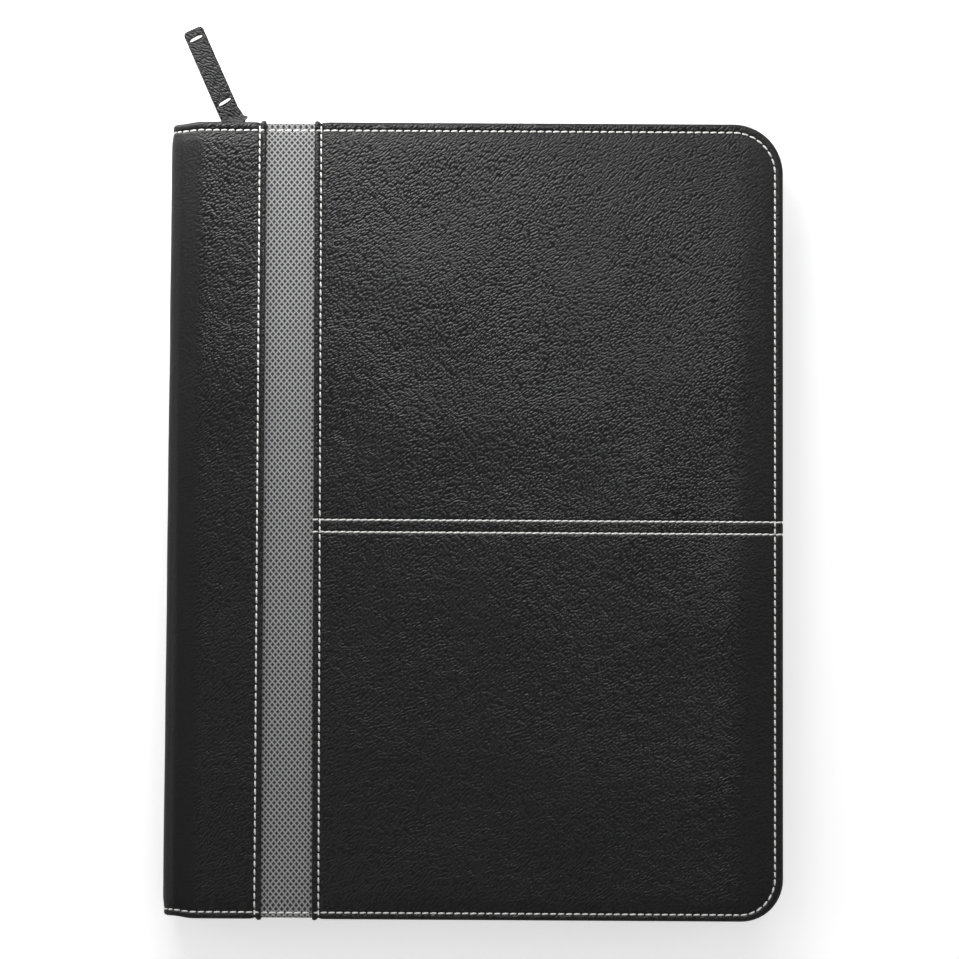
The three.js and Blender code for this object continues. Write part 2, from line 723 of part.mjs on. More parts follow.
// Pull tab: one strip of leather folded round the beam, its two layers lying face to face.
// The folded strip is drawn as reach and height, then laid in plan along a line that bends
// from square to the beam over to the lean.
function tabPlan(reach) {
  const lean = THREE.MathUtils.degToRad(TAB_LEAN_DEG);
  const steps = 12;
  let x = 0;
  let y = 0;
  let angle = 0;
  if (reach <= 0) {
    return { x: 0, y: reach, angle: 0 };
  }
  for (let i = 0; i < steps; i += 1) {
    const middle = (reach * (i + 0.5)) / steps;
    const share = THREE.MathUtils.smoothstep(middle, 0, TAB_BEND_LENGTH);
    angle = lean * share;
    x -= Math.sin(angle) * (reach / steps);
    y += Math.cos(angle) * (reach / steps);
  }
  return { x, y, angle: lean * THREE.MathUtils.smoothstep(reach, 0, TAB_BEND_LENGTH) };
}

// Half widths of the tab at a reach: the tip is rounded and the right side flares at the base
function tabSides(reach) {
  const half = TAB_WIDTH / 2;
  const fromTip = TAB_LENGTH - reach;
  const round = TAB_TIP_ROUND;
  const t = THREE.MathUtils.clamp(1 - fromTip / round, 0, 1);
  const tipCut = round * (1 - Math.sqrt(Math.max(0, 1 - t * t))) * 0.8;
  const rise = THREE.MathUtils.smoothstep(reach, 1.2, 3.6);
  const fall = 1 - THREE.MathUtils.smoothstep(reach, 4.6, 12);
  return { left: half - tipCut, right: half - tipCut + TAB_FLARE * rise * fall };
}

function pullTab() {
  const layer = (TAB_LEATHER + SEAT_GAP) / 2;
  const route = [];
  const leave = Math.acos(layer / eyeMiddle);
  const straightFrom = eyeMiddle * Math.sin(leave) + 3;
  const reaches = [];
  const stepsOut = 14;
  for (let i = 0; i <= stepsOut; i += 1) {
    reaches.push(straightFrom + (TAB_LENGTH - TAB_TIP_ROUND - straightFrom) * (i / stepsOut) ** 1.4);
  }
  for (const share of [0.5, 0.8, 1]) {
    reaches.push(TAB_LENGTH - TAB_TIP_ROUND + TAB_TIP_ROUND * share);
  }
  // Upper layer from the tip to the eye, round the beam, and back as the lower layer
  for (const reach of reaches.slice().reverse()) {
    route.push({ reach, z: layer, nx: 0, nz: 1 });
  }
  const turn = 16;
  const from = Math.PI * 0.33;
  for (let i = 0; i <= turn; i += 1) {
    const angle = from + (2 * Math.PI - 2 * from) * (i / turn);
    const nx = Math.cos(angle);
    const nz = Math.sin(angle);
    route.push({ reach: eyeMiddle * nx, z: eyeMiddle * nz, nx, nz });
  }
  for (const reach of reaches) {
    route.push({ reach, z: -layer, nx: 0, nz: -1 });
  }
  const half = TAB_LEATHER / 2;
  const rings = route.map(({ reach, z, nx, nz }) => {
    const corner = (side, normal) => {
      const r = reach + nx * half * normal;
      const plan = tabPlan(r);
      const { left, right } = tabSides(Math.min(r, TAB_LENGTH));
      const across = side > 0 ? right : -left;
      return new THREE.Vector3(
        SLIDER_X + plan.x + across * Math.cos(plan.angle),
        beamY + plan.y + across * Math.sin(plan.angle),
        ZIP_Z + z + nz * half * normal,
      );
    };
    return [corner(-1, -1), corner(-1, 1), corner(1, 1), corner(1, -1)];
  });
  return lofted(rings);
}

// Writing pad

const padX0 = SPINE_X + PAD_FROM_SPINE;
const padX1 = EDGE_X - PAD_FROM_EDGE;
const padY0 = -HALF_HEIGHT + PAD_FROM_FOOT;
const padY1 = HALF_HEIGHT - PAD_FROM_HEAD;
const padPanelZ = BACK_INSIDE_Z + PAD_BACKING + SEAT_GAP;
const padSheetsZ = padPanelZ + POCKET_SHEET + SEAT_GAP;
const padTopZ = padSheetsZ + PAD_SHEETS;

// A flat pocket: a sheet held off the lining by a rim on three sides and open on the fourth
function flatPocket(x0, x1, y0, y1, rim, spaceZ, sheetZ, outerZ) {
  const low = Math.min(spaceZ, outerZ);
  const high = Math.max(spaceZ, outerZ);
  const whole = block(x0, x1, y0, y1, low, high);
  const inside = block(
    x0 + rim, x1 - rim, y0 + rim, y1 + 1,
    Math.min(spaceZ, sheetZ) - (spaceZ < sheetZ ? 1 : 0),
    Math.max(spaceZ, sheetZ) + (spaceZ > sheetZ ? 1 : 0),
  );
  return cut(whole, inside);
}

function padPocketPanel() {
  const side = PAD_SIDE_PLAY + PAD_PANEL_RIM;
  return flatPocket(
    padX0 - side, padX1 + side, padY0 - side, padY1 - PAD_PANEL_BELOW_HEAD,
    PAD_PANEL_RIM, BACK_INSIDE_Z, padPanelZ, padPanelZ + POCKET_SHEET,
  );
}

// The binding wraps the pad's head, with glue between the sheets and the backing
function padBinding() {
  const front = padY1;
  const y = (value) => front - value;
  const section = [
    [y(BINDING_DEPTH), padTopZ],
    [y(0), padTopZ],
    [y(0), padSheetsZ],
    [y(4), padSheetsZ],
    [y(4), BACK_INSIDE_Z + PAD_BACKING],
    [y(0), BACK_INSIDE_Z + PAD_BACKING],
    [y(0), BACK_INSIDE_Z],
    [y(-BINDING), BACK_INSIDE_Z],
    [y(-BINDING), padTopZ + BINDING],
    [y(BINDING_DEPTH), padTopZ + BINDING],
  ].map(([dy, z]) => new THREE.Vector2(dy, z));
  return carriedAlongX(section, padX0, padX1);
}

// Pen loop: a strip that stands off the lining in a round arch, sewn down on both feet
function penLoop() {
  const centreX = SPINE_X + PEN_LOOP_FROM_SPINE;
  const inner = PEN_LOOP_BORE / 2;
  const outer = inner + PEN_LOOP_WALL;
  const z = BACK_INSIDE_Z;
  const foot = z + PEN_LOOP_WALL;
  const outside = [
    new THREE.Vector2(centreX - outer, z),
    new THREE.Vector2(centreX + outer, z),
    ...arcPoints(centreX, foot + inner, outer, 0, Math.PI, 14),
  ];
  const hole = [
    new THREE.Vector2(centreX - inner, foot),
    new THREE.Vector2(centreX + inner, foot),
    ...arcPoints(centreX, foot + inner, inner, 0, Math.PI, 14),
  ];
  return carriedAlongY(
    outside, PEN_LOOP_Y - PEN_LOOP_LENGTH / 2, PEN_LOOP_Y + PEN_LOOP_LENGTH / 2, [hole]);
}

// Pockets inside the front cover, which open towards the head

const documentX0 = SPINE_X + DOCUMENT_FROM_SPINE;
const documentX1 = EDGE_X - DOCUMENT_FROM_EDGE;
const documentY0 = -HALF_HEIGHT + DOCUMENT_FROM_FOOT;
const documentZ = FRONT_INSIDE_Z - DOCUMENT_SPACE;

function documentPocket() {
  return flatPocket(
    documentX0, documentX1, documentY0, documentY0 + DOCUMENT_HEIGHT,
    DOCUMENT_RIM, FRONT_INSIDE_Z, documentZ, documentZ - POCKET_SHEET,
  );
}

function cardPocket(index) {
  const x0 = (documentX0 + documentX1 - CARD_POCKET_WIDTH) / 2;
  const y1 = documentY0 + DOCUMENT_HEIGHT - CARD_POCKET_BELOW_MOUTH - index * CARD_POCKET_STEP;
  const y0 = documentY0 + DOCUMENT_HEIGHT - CARD_POCKET_BELOW_MOUTH - CARD_POCKET_HEIGHT;
  const back = documentZ - POCKET_SHEET - index * (SEAT_GAP + CARD_POCKET_SHEET);
  const sheet = back - SEAT_GAP;
  return flatPocket(x0, x0 + CARD_POCKET_WIDTH, y0, y1,
    CARD_POCKET_RIM, back, sheet, sheet - CARD_POCKET_SHEET);
}

// The assembly

const padfolio = new THREE.Group();

function addPart(name, geometry, color, roughness, metalness = 0) {
  const material = new THREE.MeshStandardMaterial({ color, roughness, metalness });
  const mesh = new THREE.Mesh(geometry, material);
  mesh.name = name;
  padfolio.add(mesh);
}

const BLACK_LEATHER = 0x2b2b2c;
const GREY_CLOTH = 0x777777;
const BLACK_CLOTH = 0x1d1d1f;
const FOAM_GREY = 0xcfcac0;
const BOARD_GREY = 0x9a9186;
const PAPER = 0xf4efcf;
const GUNMETAL = 0x3a3a3c;

addPart('back_cover_leather', backCoverLeather(), BLACK_LEATHER, 0.5);
addPart('back_foam', coverSheet(LEATHER + SEAT_GAP, BOARD_X, BACK_FOAM_Z, BACK_BOARD_Z), FOAM_GREY, 0.95);
addPart('back_board', coverSheet(LEATHER + SEAT_GAP, BOARD_X, BACK_BOARD_Z, BACK_LINING_Z), BOARD_GREY, 0.9);
addPart('back_lining', coverSheet(LINING_INSET, BOARD_X, BACK_LINING_Z, BACK_INSIDE_Z), BLACK_CLOTH, 0.85);

addPart('spine_leather', spineLeather(), BLACK_LEATHER, 0.5);
addPart('spine_board', spineSheet(SPINE_X + LEATHER, SPINE_BOARD), BOARD_GREY, 0.9);
addPart('spine_lining', spineSheet(SPINE_X + LEATHER + SPINE_BOARD, LINING), BLACK_CLOTH, 0.85);

addPart('front_flap_leather', frontFlapLeather(), BLACK_LEATHER, 0.5);
addPart('front_panel_leather', frontPanelLeather(), BLACK_LEATHER, 0.5);
addPart('front_pocket_fabric', frontPocketFabric(), GREY_CLOTH, 0.85);
addPart('front_foam', coverSheet(LEATHER + SEAT_GAP + POCKET_FABRIC + FABRIC_EDGE_SETBACK,
  BOARD_X, FRONT_FOAM_Z, FRONT_FABRIC_Z), FOAM_GREY, 0.95);
addPart('front_board', coverSheet(LEATHER + SEAT_GAP + POCKET_FABRIC + FABRIC_EDGE_SETBACK,
  BOARD_X, FRONT_BOARD_Z, FRONT_FOAM_Z), BOARD_GREY, 0.9);
addPart('front_lining', coverSheet(LINING_INSET, BOARD_X, FRONT_INSIDE_Z, FRONT_BOARD_Z), BLACK_CLOTH, 0.85);

addPart('back_zip_tape', zipTape(1), BLACK_CLOTH, 0.85);
addPart('back_zip_teeth', zipTeeth(1), GUNMETAL, 0.4);
addPart('back_head_stop', zipStop(1, 1), GUNMETAL, 0.35, 1);
addPart('back_foot_stop', zipStop(1, -1), GUNMETAL, 0.35, 1);
addPart('front_zip_tape', zipTape(-1), BLACK_CLOTH, 0.85);
addPart('front_zip_teeth', zipTeeth(-1), GUNMETAL, 0.4);
addPart('front_head_stop', zipStop(-1, 1), GUNMETAL, 0.35, 1);
addPart('front_foot_stop', zipStop(-1, -1), GUNMETAL, 0.35, 1);
addPart('zip_slider', zipSlider(), GUNMETAL, 0.35, 1);
addPart('zip_slider_crown', zipSliderCrown(), GUNMETAL, 0.35, 1);
addPart('pull_tab', pullTab(), BLACK_LEATHER, 0.5);

addPart('pad_pocket_panel', padPocketPanel(), BLACK_LEATHER, 0.5);
addPart('pad_backing', block(padX0, padX1, padY0, padY1, BACK_INSIDE_Z, BACK_INSIDE_Z + PAD_BACKING),
  BOARD_GREY, 0.9);
addPart('pad_sheets', block(padX0, padX1, padY0, padY1, padSheetsZ, padTopZ), PAPER, 0.9);
addPart('pad_binding', padBinding(), BLACK_CLOTH, 0.8);
addPart('pen_loop', penLoop(), BLACK_CLOTH, 0.8);
addPart('document_pocket', documentPocket(), BLACK_LEATHER, 0.5);
for (let i = 0; i < CARD_POCKET_COUNT; i += 1) {
  addPart(`card_pocket_${i + 1}`, cardPocket(i), BLACK_LEATHER, 0.5);
}

export default padfolio;
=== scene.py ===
"""Zippered letter padfolio: a padded leather case with a grey cloth pocket on its front, a zip round
three sides, and a writing pad with pockets inside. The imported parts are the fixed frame."""

import math

import bpy
import numpy as np
from bpy.props import FloatProperty, FloatVectorProperty, PointerProperty
from mathutils import Matrix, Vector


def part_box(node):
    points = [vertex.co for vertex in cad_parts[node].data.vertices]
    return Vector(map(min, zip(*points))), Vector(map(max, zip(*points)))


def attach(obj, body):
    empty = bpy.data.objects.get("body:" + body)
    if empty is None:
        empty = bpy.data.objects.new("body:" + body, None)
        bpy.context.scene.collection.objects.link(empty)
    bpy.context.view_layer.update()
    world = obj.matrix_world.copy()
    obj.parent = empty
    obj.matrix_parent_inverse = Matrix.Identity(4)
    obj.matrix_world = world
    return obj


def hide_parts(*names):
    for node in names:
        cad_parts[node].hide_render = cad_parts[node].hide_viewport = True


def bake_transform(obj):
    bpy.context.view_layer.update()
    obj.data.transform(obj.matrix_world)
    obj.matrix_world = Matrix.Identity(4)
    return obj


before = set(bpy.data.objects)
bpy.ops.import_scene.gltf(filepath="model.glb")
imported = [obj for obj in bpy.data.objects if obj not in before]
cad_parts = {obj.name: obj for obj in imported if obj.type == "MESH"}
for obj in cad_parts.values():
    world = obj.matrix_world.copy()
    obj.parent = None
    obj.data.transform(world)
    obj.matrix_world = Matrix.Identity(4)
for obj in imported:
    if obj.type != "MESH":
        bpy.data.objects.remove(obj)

bl_info = {
    "name": "Zippered padfolio",
    "version": (1, 0, 0),
    "blender": (4, 5, 0),
    "location": "3D View > Sidebar > Padfolio",
    "description": "Dresses the packed padfolio in leather, cloth, thread, zip and paper",
    "category": "Object",
}

# All sizes are in millimetres until a mesh is made
MM = 0.001
GRAIN_TURN = 44.0        # degrees from the width of the case to the length of the grain's pebbles


def corners_of(node):
    """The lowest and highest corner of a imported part, in millimetres."""
    low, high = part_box(node)
    return np.array(low) / MM, np.array(high) / MM


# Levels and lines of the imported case
EDGE_X, HALF_HEIGHT, BACK_DEPTH = (round(float(v), 2) for v in corners_of("back_cover_leather")[1])
SPINE_X = -EDGE_X
THICKNESS = 28.8
FRONT_INSIDE = 23.2      # level of the front cover's inner face
FRONT_DEPTH = THICKNESS - FRONT_INSIDE
FLAP_HEM_X = round(float(corners_of("front_flap_leather")[1][0]), 2)
PANEL_HEM_X = round(float(corners_of("front_panel_leather")[0][0]), 2)
CLOTH_TOP = 27.3         # level of the pocket cloth, under the panel and the flap
HEAD_RADIUS = 21.0
FOOT_RADIUS = 17.5
FOLD_RADIUS = 6.0
FOLD_X = SPINE_X + FOLD_RADIUS
FOLD_LENGTH = FOLD_RADIUS * math.pi / 2
REACH = HEAD_RADIUS      # how far in the rings of an edge start
INNER_X = EDGE_X - REACH
INNER_Y = HALF_HEIGHT - REACH
SEAM = 3.3               # from an edge in to its seam
HEM = 2.7                # from a hem in to its seam
TWIN_ROWS = (-6.1, -1.0)     # places of the two rows of stitching across the panel
HEM_SEAM = 16            # the column of a hem under its seam, counted from the turned-in end
BACK_LINING_Z = 5.2
FRONT_LINING_Z = 22.7
GUTTER_RADIUS = 4.3      # of the lining that runs round each fold
OUTLINE = (EDGE_X, HALF_HEIGHT, HEAD_RADIUS, FOOT_RADIUS)
SPINE_MIDDLE = FOLD_X - FOLD_LENGTH - (THICKNESS / 2 - FOLD_RADIUS)
BAND_STITCHES = 6        # across the grey band, at its head and foot
FACE_STITCHES = 88       # from the foot to the head, over the flat of a cover

# The zip, as packed
ZIP_Z = 13.95
ZIP_INSET = 6.3
ZIP_OUTLINE = tuple(size - ZIP_INSET for size in OUTLINE)
ZIP_START = SPINE_X + 9
CORD_LEVEL = 2.15        # from the zip's middle to each tape's cord
TAPE_LEVEL = 2.9         # and to the tape's end
SLIDER_X = SPINE_X + 24.7
SLIDER_HALF = 7.5
STOP_ROOM = 6.7          # from the slider's mouth, past the stops, to the first tooth
TOOTH_PITCH = 4.0
CROWN_Y = 166.303        # middle of the crown's beam, round which the tab turns


# Mesh tools

def smooth(t):
    """3t^2 - 2t^3 between 0 and 1, level outside."""
    t = np.clip(t, 0, 1)
    return t * t * (3 - 2 * t)


def hill(x, width):
    """A bell of height 1 and the given half width at x = 0."""
    return np.exp(-((x / width) ** 2))


def unit(vectors):
    """The vectors at length 1."""
    return vectors / np.maximum(np.linalg.norm(vectors, axis=-1, keepdims=True), 1e-9)


def grid_faces(rows, columns, start=0, closed=False):
    """Quads between neighbouring rows and columns of a grid numbered row by row. closed joins the
    last column to the first."""
    index = np.arange(rows * columns).reshape(rows, columns) + start
    if closed:
        index = np.hstack([index, index[:, :1]])
    quads = [index[:-1, :-1], index[:-1, 1:], index[1:, 1:], index[1:, :-1]]
    return np.stack(quads, axis=-1).reshape(-1, 4)


def together(*shapes):
    """Several (points, faces) pairs as one pair."""
    points, faces, start = [], [], 0
    for p, f in shapes:
        points.append(p.reshape(-1, 3))
        faces.append(f + start)
        start += len(points[-1])
    return np.vstack(points), np.vstack(faces)


def stacked(*parts):
    """Points from their coordinates, each given as a number, a line or a grid."""
    return np.stack(np.broadcast_arrays(*parts), axis=-1)


def run_of(x, y):
    """The length run along a line at each of its points."""
    return np.concatenate([[0], np.cumsum(np.hypot(np.diff(x), np.diff(y)))])


def repeated(faces, count, points_each):
    """The faces of one shape, numbered for count copies of it."""
    return (faces[None] + (np.arange(count) * points_each)[:, None, None]).reshape(-1, 4)


def between(at, phase, line):
    """Points of a line at the given counts of its phase."""
    return np.stack([np.interp(at, phase, line[:, i]) for i in range(3)], axis=-1)


def section_ways(inset, height):
    """Rings across an edge, from inside outwards: inset, height, and the outward normal's two parts."""
    along = unit(np.stack([np.gradient(-inset), np.gradient(height)], axis=1))
    return inset, height, -along[:, 1], along[:, 0]


def welded(points, faces, near=0.002):
    """Points that fall on one another become one. Also gives which points were kept."""
    _, kept, back = np.unique(
        np.round(points / near).astype(np.int64), axis=0, return_index=True, return_inverse=True)
    return points[kept], back.reshape(-1)[faces], kept


def thickened(points, faces, thickness):
    """A closed skin: the sheet, the same sheet moved back along its point normals by the thickness,
    and quads round the open border."""
    a, b, c, d = (points[faces[:, i]] for i in range(4))
    area = np.cross(c - a, d - b)
    normal = np.stack([sum(np.bincount(faces[:, i], area[:, axis], len(points)) for i in range(4))
                       for axis in range(3)], axis=-1)
    inner = points - unit(normal) * thickness
    edges = np.concatenate([faces[:, [i, (i + 1) % 4]] for i in range(4)])
    edges = edges[edges[:, 0] != edges[:, 1]]
    _, first, count = np.unique(np.sort(edges, axis=1), axis=0, return_index=True, return_counts=True)
    border = edges[first[count == 1]]
    n = len(points)
    rim = np.stack([border[:, 1], border[:, 0], border[:, 0] + n, border[:, 1] + n], axis=1)
    return np.vstack([points, inner]), np.vstack([faces, faces[:, ::-1] + n, rim])


def thick_grid(points, across, along, thickness, turned=False):
    """A grid of points as a closed skin, with its faces turned round where asked: points, faces, and
    places on the cut sheet from the lengths across and along it."""
    faces = grid_faces(*points.shape[:2])
    points, faces = thickened(points.reshape(-1, 3), faces[:, ::-1] if turned else faces, thickness)
    return points, faces, np.tile(stacked(across, along).reshape(-1, 2), (2, 1))


def facing_out(points, faces):
    """Turns all faces of a closed shape round if its volume comes out negative."""
    a, b, c, d = (points[faces[:, i]] for i in range(4))
    volume = np.einsum("ij,ij->", a, np.cross(b, c) + np.cross(c, d))
    return faces if volume > 0 else faces[:, ::-1]


def shell(points, faces):
    """A closed shape with its points welded and its faces outwards."""
    points, faces, _ = welded(points.reshape(-1, 3), faces, near=0.0005)
    return points, facing_out(points, faces)


def piece(name, points, faces, material, flat=None, grain=None, sharp=None):
    """A mesh object at the origin from points in millimetres. flat is each point's place on the cut
    sheet, kept as the UV map in metres; grain is how strongly the leather's grain stands there."""
    kept = faces != np.roll(faces, 1, axis=1)
    sides = kept.sum(axis=1)
    whole = sides > 2
    corners = faces[whole][kept[whole]].astype(np.int32)
    starts = np.concatenate([[0], np.cumsum(sides[whole])[:-1]]).astype(np.int32)
    mesh = bpy.data.meshes.new(name)
    mesh.vertices.add(len(points))
    mesh.vertices.foreach_set("co", (points * MM).astype(np.float32).ravel())
    mesh.loops.add(len(corners))
    mesh.loops.foreach_set("vertex_index", corners)
    mesh.polygons.add(len(starts))
    mesh.polygons.foreach_set("loop_start", starts)
    if flat is not None:
        layer = mesh.uv_layers.new(name="cut_sheet")
        layer.data.foreach_set("uv", (flat[corners] * MM).astype(np.float32).ravel())
    if grain is not None:
        mesh.attributes.new("grain", "FLOAT", "POINT").data.foreach_set("value", grain.astype(np.float32))
    mesh.update(calc_edges=True)
    mesh.validate()
    mesh.shade_smooth()
    if sharp is not None:
        mesh.set_sharp_from_angle(angle=math.radians(sharp))
    mesh.materials.append(material)
    obj = bpy.data.objects.new(name, mesh)
    bpy.context.scene.collection.objects.link(obj)
    return obj


def bar(path, side, width, height, corner):
    """A bar with rounded corners carried along a path: at each point of the path a rectangle, width
    by height with rounded corners, stands square to the path. side gives the way of the width."""
    path = np.asarray(path, float)
    count = len(path)
    tangent = unit(np.gradient(path, axis=0))
    side = np.broadcast_to(np.asarray(side, float), path.shape)
    side = unit(side - tangent * np.sum(side * tangent, axis=1, keepdims=True))
    up = np.cross(tangent, side)
    width = np.broadcast_to(width, count)[:, None]
    height = np.broadcast_to(height, count)[:, None]
    turn = np.radians(np.array([0, 45, 90]))
    quarter = np.stack([np.cos(turn), np.sin(turn)], axis=1)
    round_x, round_y = np.vstack([quarter, quarter[::-1]] * 2).T
    x = np.repeat([1, -1, -1, 1], 3) * (width / 2 - corner + corner * round_x)
    y = np.repeat([1, 1, -1, -1], 3) * (height / 2 - corner + corner * round_y)
    rings = path[:, None, :] + side[:, None, :] * x[..., None] + up[:, None, :] * y[..., None]
    sections = len(round_x)
    start = count * sections
    points = np.vstack([rings.reshape(-1, 3), np.repeat(path[[0, -1]], sections, axis=0)])
    ring = np.arange(sections)
    first = grid_faces(2, sections, closed=True)
    caps = np.concatenate([ring + start, ring])
    tail = np.concatenate([ring + start - sections, ring + start + sections])
    return shell(points, np.vstack([grid_faces(count, sections, closed=True), caps[first], tail[first]]))


# Materials

def linear(hex_colour):
    """An sRGB hex colour turned to linear light, with alpha 1."""
    values = [int(hex_colour[i:i + 2], 16) / 255 for i in (1, 3, 5)]
    light = [v / 12.92 if v <= 0.04045 else ((v + 0.055) / 1.055) ** 2.4 for v in values]
    return (*light, 1.0)


def mixed(one, other, share):
    """A mix of two hex colours in linear light, with the given share of the other."""
    return tuple((1 - share) * a + share * b for a, b in zip(linear(one), linear(other)))


def add_node(tree, kind, settings=None, links=None):
    """Adds one node. settings gives its properties, its input values and a ramp's stops; links joins
    its inputs to other nodes' outputs."""
    node = tree.nodes.new(kind)
    for key, value in (settings or {}).items():
        if key == "stops":
            elements = node.color_ramp.elements
            while len(elements) < len(value):
                elements.new(0.5)
            for element, stop in zip(elements, value):
                element.position, element.color = stop
        elif isinstance(key, str) and key not in node.inputs:
            setattr(node, key, value)
        else:
            node.inputs[key].default_value = value
    for key, socket in (links or {}).items():
        tree.links.new(socket, node.inputs[key])
    return node


def maths(tree, operation, *values):
    """One math node. Each value is a number or another node's output."""
    numbers = {i: v for i, v in enumerate(values) if isinstance(v, (int, float))}
    sockets = {i: v for i, v in enumerate(values) if i not in numbers}
    return add_node(tree, "ShaderNodeMath", {"operation": operation, **numbers}, sockets).outputs[0]


def noise(tree, place, size, detail, **more):
    """A noise texture whose waves have the given size in millimetres."""
    settings = {"Scale": 1 / (size * MM), "Detail": detail, **more}
    return add_node(tree, "ShaderNodeTexNoise", settings, {"Vector": place})


def ranged(tree, value, ends, new_ends):
    """The value, moved evenly from between its ends to between the new ends."""
    ranges = zip(("From Min", "From Max", "To Min", "To Max"), (*ends, *new_ends))
    return add_node(tree, "ShaderNodeMapRange", dict(ranges), {"Value": value}).outputs[0]


def ramp(tree, value, *stops):
    """A colour ramp through the stops."""
    return add_node(tree, "ShaderNodeValToRGB", {"stops": stops}, {"Fac": value}).outputs["Color"]


def new_material(name):
    """An empty material and its node tree."""
    material = bpy.data.materials.new(name)
    material.use_nodes = True
    material.node_tree.nodes.clear()
    return material, material.node_tree


def on_object(tree):
    """The place in the object's own coordinates."""
    return add_node(tree, "ShaderNodeTexCoord").outputs["Object"]


def on_sheet(tree):
    """The place on the cut sheet."""
    return add_node(tree, "ShaderNodeUVMap", {"uv_map": "cut_sheet"}).outputs["UV"]


def close_with(tree, shader):
    """Joins the shader to the material's output."""
    add_node(tree, "ShaderNodeOutputMaterial", {}, {"Surface": shader.outputs[0]})


def surface(tree, colour, height, depth, links=None, **settings):
    """Closes the material with a surface of the given colour, whose bumps are as deep as the depth."""
    bump = add_node(tree, "ShaderNodeBump", {"Strength": 1.0, "Distance": depth * MM}, {"Height": height})
    close_with(tree, add_node(tree, "ShaderNodeBsdfPrincipled", settings,
                              {"Base Color": colour, "Normal": bump.outputs[0], **(links or {})}))


def leather_material(name, colour, crease_shade, grain_width, grain_height, depth, roughness):
    """Bonded leather, embossed with a pebble grain and given a satin lacquer. Oblong pebbles lie side
    by side, with painted shade darkening the creases between them, larger soft folds run through
    them, and the lacquer catches the light on the pebbles' crowns. Where the leather is stretched
    round a fold the grain is flatter and the lacquer duller."""
    material, tree = new_material(name)
    place = on_sheet(tree)
    strewn = add_node(tree, "ShaderNodeMapping", {}, {"Vector": place})
    for wave, push in ((42.0, 6.0), (4.0, 1.1)):
        wander = noise(tree, place, wave, 0.0)
        centred = add_node(tree, "ShaderNodeVectorMath", {"operation": "SUBTRACT", 1: (0.5, 0.5, 0.5)},
                           {0: wander.outputs["Color"]})
        pushed = add_node(tree, "ShaderNodeVectorMath", {"operation": "SCALE", "Scale": push * MM},
                          {0: centred.outputs[0]})
        strewn = add_node(tree, "ShaderNodeVectorMath", {"operation": "ADD"},
                          {0: strewn.outputs[0], 1: pushed.outputs[0]})
    turned = add_node(tree, "ShaderNodeMapping",
                      {"vector_type": "TEXTURE", "Rotation": (0, 0, math.radians(GRAIN_TURN)),
                       "Scale": (grain_width * MM, grain_height * MM, grain_height * MM)},
                      {"Vector": strewn.outputs[0]})
    cells = add_node(tree, "ShaderNodeTexVoronoi",
                     {"voronoi_dimensions": "2D", "feature": "F1", "Scale": 1.0, "Randomness": 0.9},
                     {"Vector": turned.outputs[0]})
    levels = ((0.0, 1), (0.25, 0.86), (0.45, 0.5), (0.62, 0.2), (0.85, 0))
    pebble = ramp(tree, cells.outputs["Distance"], *((at, (v, v, v, 1)) for at, v in levels))
    folds = noise(tree, strewn.outputs[0], 2.2, 1.0, Roughness=0.5)
    pores = noise(tree, place, 0.35, 1.0)
    standing = add_node(tree, "ShaderNodeAttribute", {"attribute_name": "grain"}).outputs["Fac"]
    height = maths(tree, "MULTIPLY", pebble, standing)
    height = maths(tree, "MULTIPLY_ADD", folds.outputs["Fac"], 0.3, height)
    height = maths(tree, "MULTIPLY_ADD", pores.outputs["Fac"], 0.12, height)
    # Painted shade: the colour darkens from the pebbles' crowns down into the creases
    shade = add_node(tree, "ShaderNodeMixRGB", {"Color1": linear(crease_shade), "Color2": colour}, {"Fac": pebble})
    blotch = noise(tree, place, 38, 3.0)
    uneven = ranged(tree, blotch.outputs["Fac"], (0.3, 0.7), (roughness - 0.02, roughness + 0.03))
    stretched = ranged(tree, standing, (0.25, 1.0), (0.12, 0.0))
    surface(tree, shade.outputs[0], height, depth, {"Roughness": maths(tree, "ADD", uneven, stretched)},
            **{"IOR": 1.5, "Specular IOR Level": 0.4})
    return material


def woven_material(name, dark, light, pitch_across, pitch_along, roughness, depth, sheen):
    """Plain or dobby weave of polyester yarn: two sets of threads cross on the slant, bright where a
    float lies on top, with painted shade darkening the yarn down into the holes between them."""
    material, tree = new_material(name)
    place = on_sheet(tree)
    scale = [math.sqrt(2) / (pitch * MM) for pitch in (pitch_across, pitch_along, pitch_along)]
    slant = add_node(tree, "ShaderNodeMapping",
                     {"vector_type": "POINT", "Rotation": (0, 0, math.radians(45)), "Scale": scale},
                     {"Vector": place})
    split = add_node(tree, "ShaderNodeSeparateXYZ", {}, {"Vector": slant.outputs[0]})
    one, other = (maths(tree, "PINGPONG", split.outputs[axis], 0.5) for axis in "XY")
    ridge = maths(tree, "MAXIMUM", one, other)
    fuzz = noise(tree, place, 0.5, 2.0)
    frayed = maths(tree, "MULTIPLY_ADD", fuzz.outputs["Fac"], 0.22, ridge)
    # Painted shade: the colour darkens with the weave's height, from the floats down to the holes
    shade = ramp(tree, frayed, (0.24, linear(dark)), (0.36, mixed(dark, light, 0.18)),
                 (0.46, mixed(dark, light, 0.42)), (0.56, linear(light)))
    surface(tree, shade, frayed, depth,
            **{"Roughness": roughness, "IOR": 1.5, "Sheen Weight": sheen, "Sheen Roughness": 0.4})
    return material


def plain_material(name, colour, roughness, mottle, depth, spot, metallic=0.0):
    """A finish of one colour with a fine unevenness: the colour darkens a little in spots of the
    given size, and the same spots stand up or dip by the depth."""
    material, tree = new_material(name)
    place = on_object(tree)
    spots = noise(tree, place, spot, 3.0).outputs["Fac"]
    base = linear(colour)
    darker = (*(v * (1 - mottle) for v in base[:3]), 1)
    settings = {"Roughness": roughness, "Metallic": metallic}
    if not metallic:
        settings["IOR"] = 1.5
    surface(tree, ramp(tree, spots, (0.3, darker), (0.7, base)), spots, depth, **settings)
    return material


